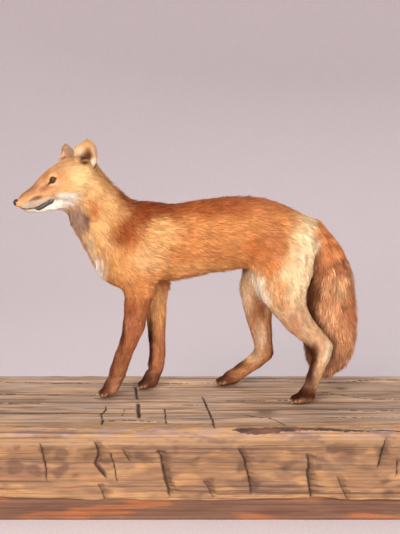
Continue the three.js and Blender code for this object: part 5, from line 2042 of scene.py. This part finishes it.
# %% End grain
HEART_BELOW = 60
RING_RATE = 900.0
caps = []
for side in (-1, 1):
    rim = surface.reshape(columns, rows, 3)[0 if side < 0 else -1].copy()
    rim[:, 0] += side * 0.15
    caps.append((rim, [list(range(rows)) if side > 0 else list(range(rows))[::-1]]))
end_points, end_faces = join_meshes(caps)
end_graph = Graph("end_grain", Roughness=0.9)
heart = to_metres([0, (FRONT + BACK) / 2, -HEART_BELOW])
from_heart = end_graph.node(
    "ShaderNodeMapping",
    {"Vector": end_graph.place(), "Location": (0, -heart[1], -heart[2]), "Scale": (0, 1, 1)},
)
wide = end_graph.node("ShaderNodeVectorMath", {0: from_heart}, output=1, operation="LENGTH")
age = (wide + end_graph.noise(9, 3) * 0.02) * RING_RATE
rings = end_graph.node("ShaderNodeMath", {0: age}, operation="SINE")
checks = end_graph.noise(14, 4, end_graph.place((1, 5, 1)))
end_color = end_graph.mix(rings.between(-0.6, 0.9), tint(150, 116, 90), tint(184, 150, 118))
end_color = end_graph.mix(checks.between(0.6, 0.7), end_color, tint(78, 56, 44))
end_material = end_graph.set(Base_Color=end_color, Normal=end_graph.bump(rings, 0.3, 0.0006))
finish_piece(add_piece("timber_ends", to_metres(end_points), end_faces, smooth=False), end_material, "timber")

# %% [markdown]
# ## The stage
# A pale floor that curves up into a wall all round keeps every view plain. It is a wide shallow bowl,
# far enough away to catch only soft shadows.

# %% The stage
FLAT_RADIUS, WALL_RADIUS, CURVE_HEIGHT, WALL_HEIGHT = 1.9, 4.0, 1.7, 3.6
CURVE_STEPS, SIDES = 14, 96
UNDER_PART = 0.0005
stage_points, stage_faces = [(0, 0, 0)], []
profile = [(FLAT_RADIUS * t, 0) for t in (0.3, 0.6, 0.85, 1.0)]
for i in range(1, CURVE_STEPS + 1):
    turn = math.pi / 2 * i / CURVE_STEPS
    out = FLAT_RADIUS + (WALL_RADIUS - FLAT_RADIUS) * math.sin(turn)
    profile.append((out, CURVE_HEIGHT * (1 - math.cos(turn))))
profile.append((WALL_RADIUS, WALL_HEIGHT))
for radius, height in profile:
    for j in range(SIDES):
        turn = 2 * math.pi * j / SIDES
        stage_points.append((radius * math.cos(turn), radius * math.sin(turn), height - UNDER_PART))
for j in range(SIDES):
    k = (j + 1) % SIDES
    stage_faces.append((0, 1 + j, 1 + k))
    for i in range(len(profile) - 1):
        a, b = 1 + i * SIDES, 1 + (i + 1) * SIDES
        stage_faces.append((a + j, b + j, b + k, a + k))
floor = add_piece("floor", stage_points, stage_faces)
stage_graph = Graph("pale_stage", Roughness=0.95)
plaster = stage_graph.noise(260, 4)
stage_tone = stage_graph.mix(plaster.between(0.35, 0.65), tint(199, 186, 187), tint(209, 198, 197))
floor.data.materials.append(stage_graph.set(Base_Color=stage_tone))
print("the stage is", 2 * WALL_RADIUS, "m across")

# %% [markdown]
# ## Light
# Soft light shows hair best: a large warm key from the front left, a cooler fill from the right, a low
# one for the legs and the belly, and one from behind that parts the back from the wall. The world adds
# an even glow.

# %% Light
def area_light(name, place, target, size, power, color=(1, 1, 1)):
    light = bpy.data.lights.new(name, "AREA")
    light.shape, light.size, light.energy, light.color = "DISK", size, power, color
    lamp = bpy.data.objects.new(name, light)
    lamp.location = place
    aim = Vector(target) - Vector(place)
    lamp.rotation_euler = aim.to_track_quat("-Z", "Y").to_euler()
    bpy.context.scene.collection.objects.link(lamp)


area_light("key", (-1.1, -2.5, 1.9), (0.05, 0, 0.4), 1.6, 84, (1, 0.97, 0.93))
area_light("fill", (2.0, -2.4, 1.1), (0, 0, 0.3), 2.2, 50, (0.97, 0.97, 1))
area_light("low", (-0.3, -2.3, 0.35), (0, 0, 0.3), 1.8, 22, (1, 0.98, 0.96))
area_light("back", (0.4, 2.4, 2.4), (0, 0, 0.4), 1.8, 22)
world = bpy.data.worlds.new("studio")
bpy.context.scene.world = world
world.use_nodes = True
glow = world.node_tree.nodes["Background"].inputs
glow["Color"].default_value = (0.93, 0.94, 1.0, 1)
glow["Strength"].default_value = 0.75
bpy.context.scene.view_settings.view_transform = "Standard"
print("lamps:", len(bpy.data.lights))

# %% [markdown]
# ## Camera
# The camera stands to the fox's left, a little above its back, and looks slightly down. A fairly long
# lens keeps the legs upright and the proportions true.

# %% Camera
CAMERA_BACK, CAMERA_UP, CAMERA_DIP = 1900, 640, 11.06
LENS, SENSOR = 63.7753, 36
camera = bpy.data.objects.new("camera", bpy.data.cameras.new("camera"))
camera.data.sensor_width = SENSOR
camera.data.lens = LENS
camera.location = to_metres([0, -CAMERA_BACK, CAMERA_UP])
camera.rotation_euler = (math.radians(90 - CAMERA_DIP), 0, 0)
bpy.context.scene.collection.objects.link(camera)
bpy.context.scene.camera = camera
print("camera at", to_metres([0, -CAMERA_BACK, CAMERA_UP]).round(3), "with a lens of", LENS, "mm")
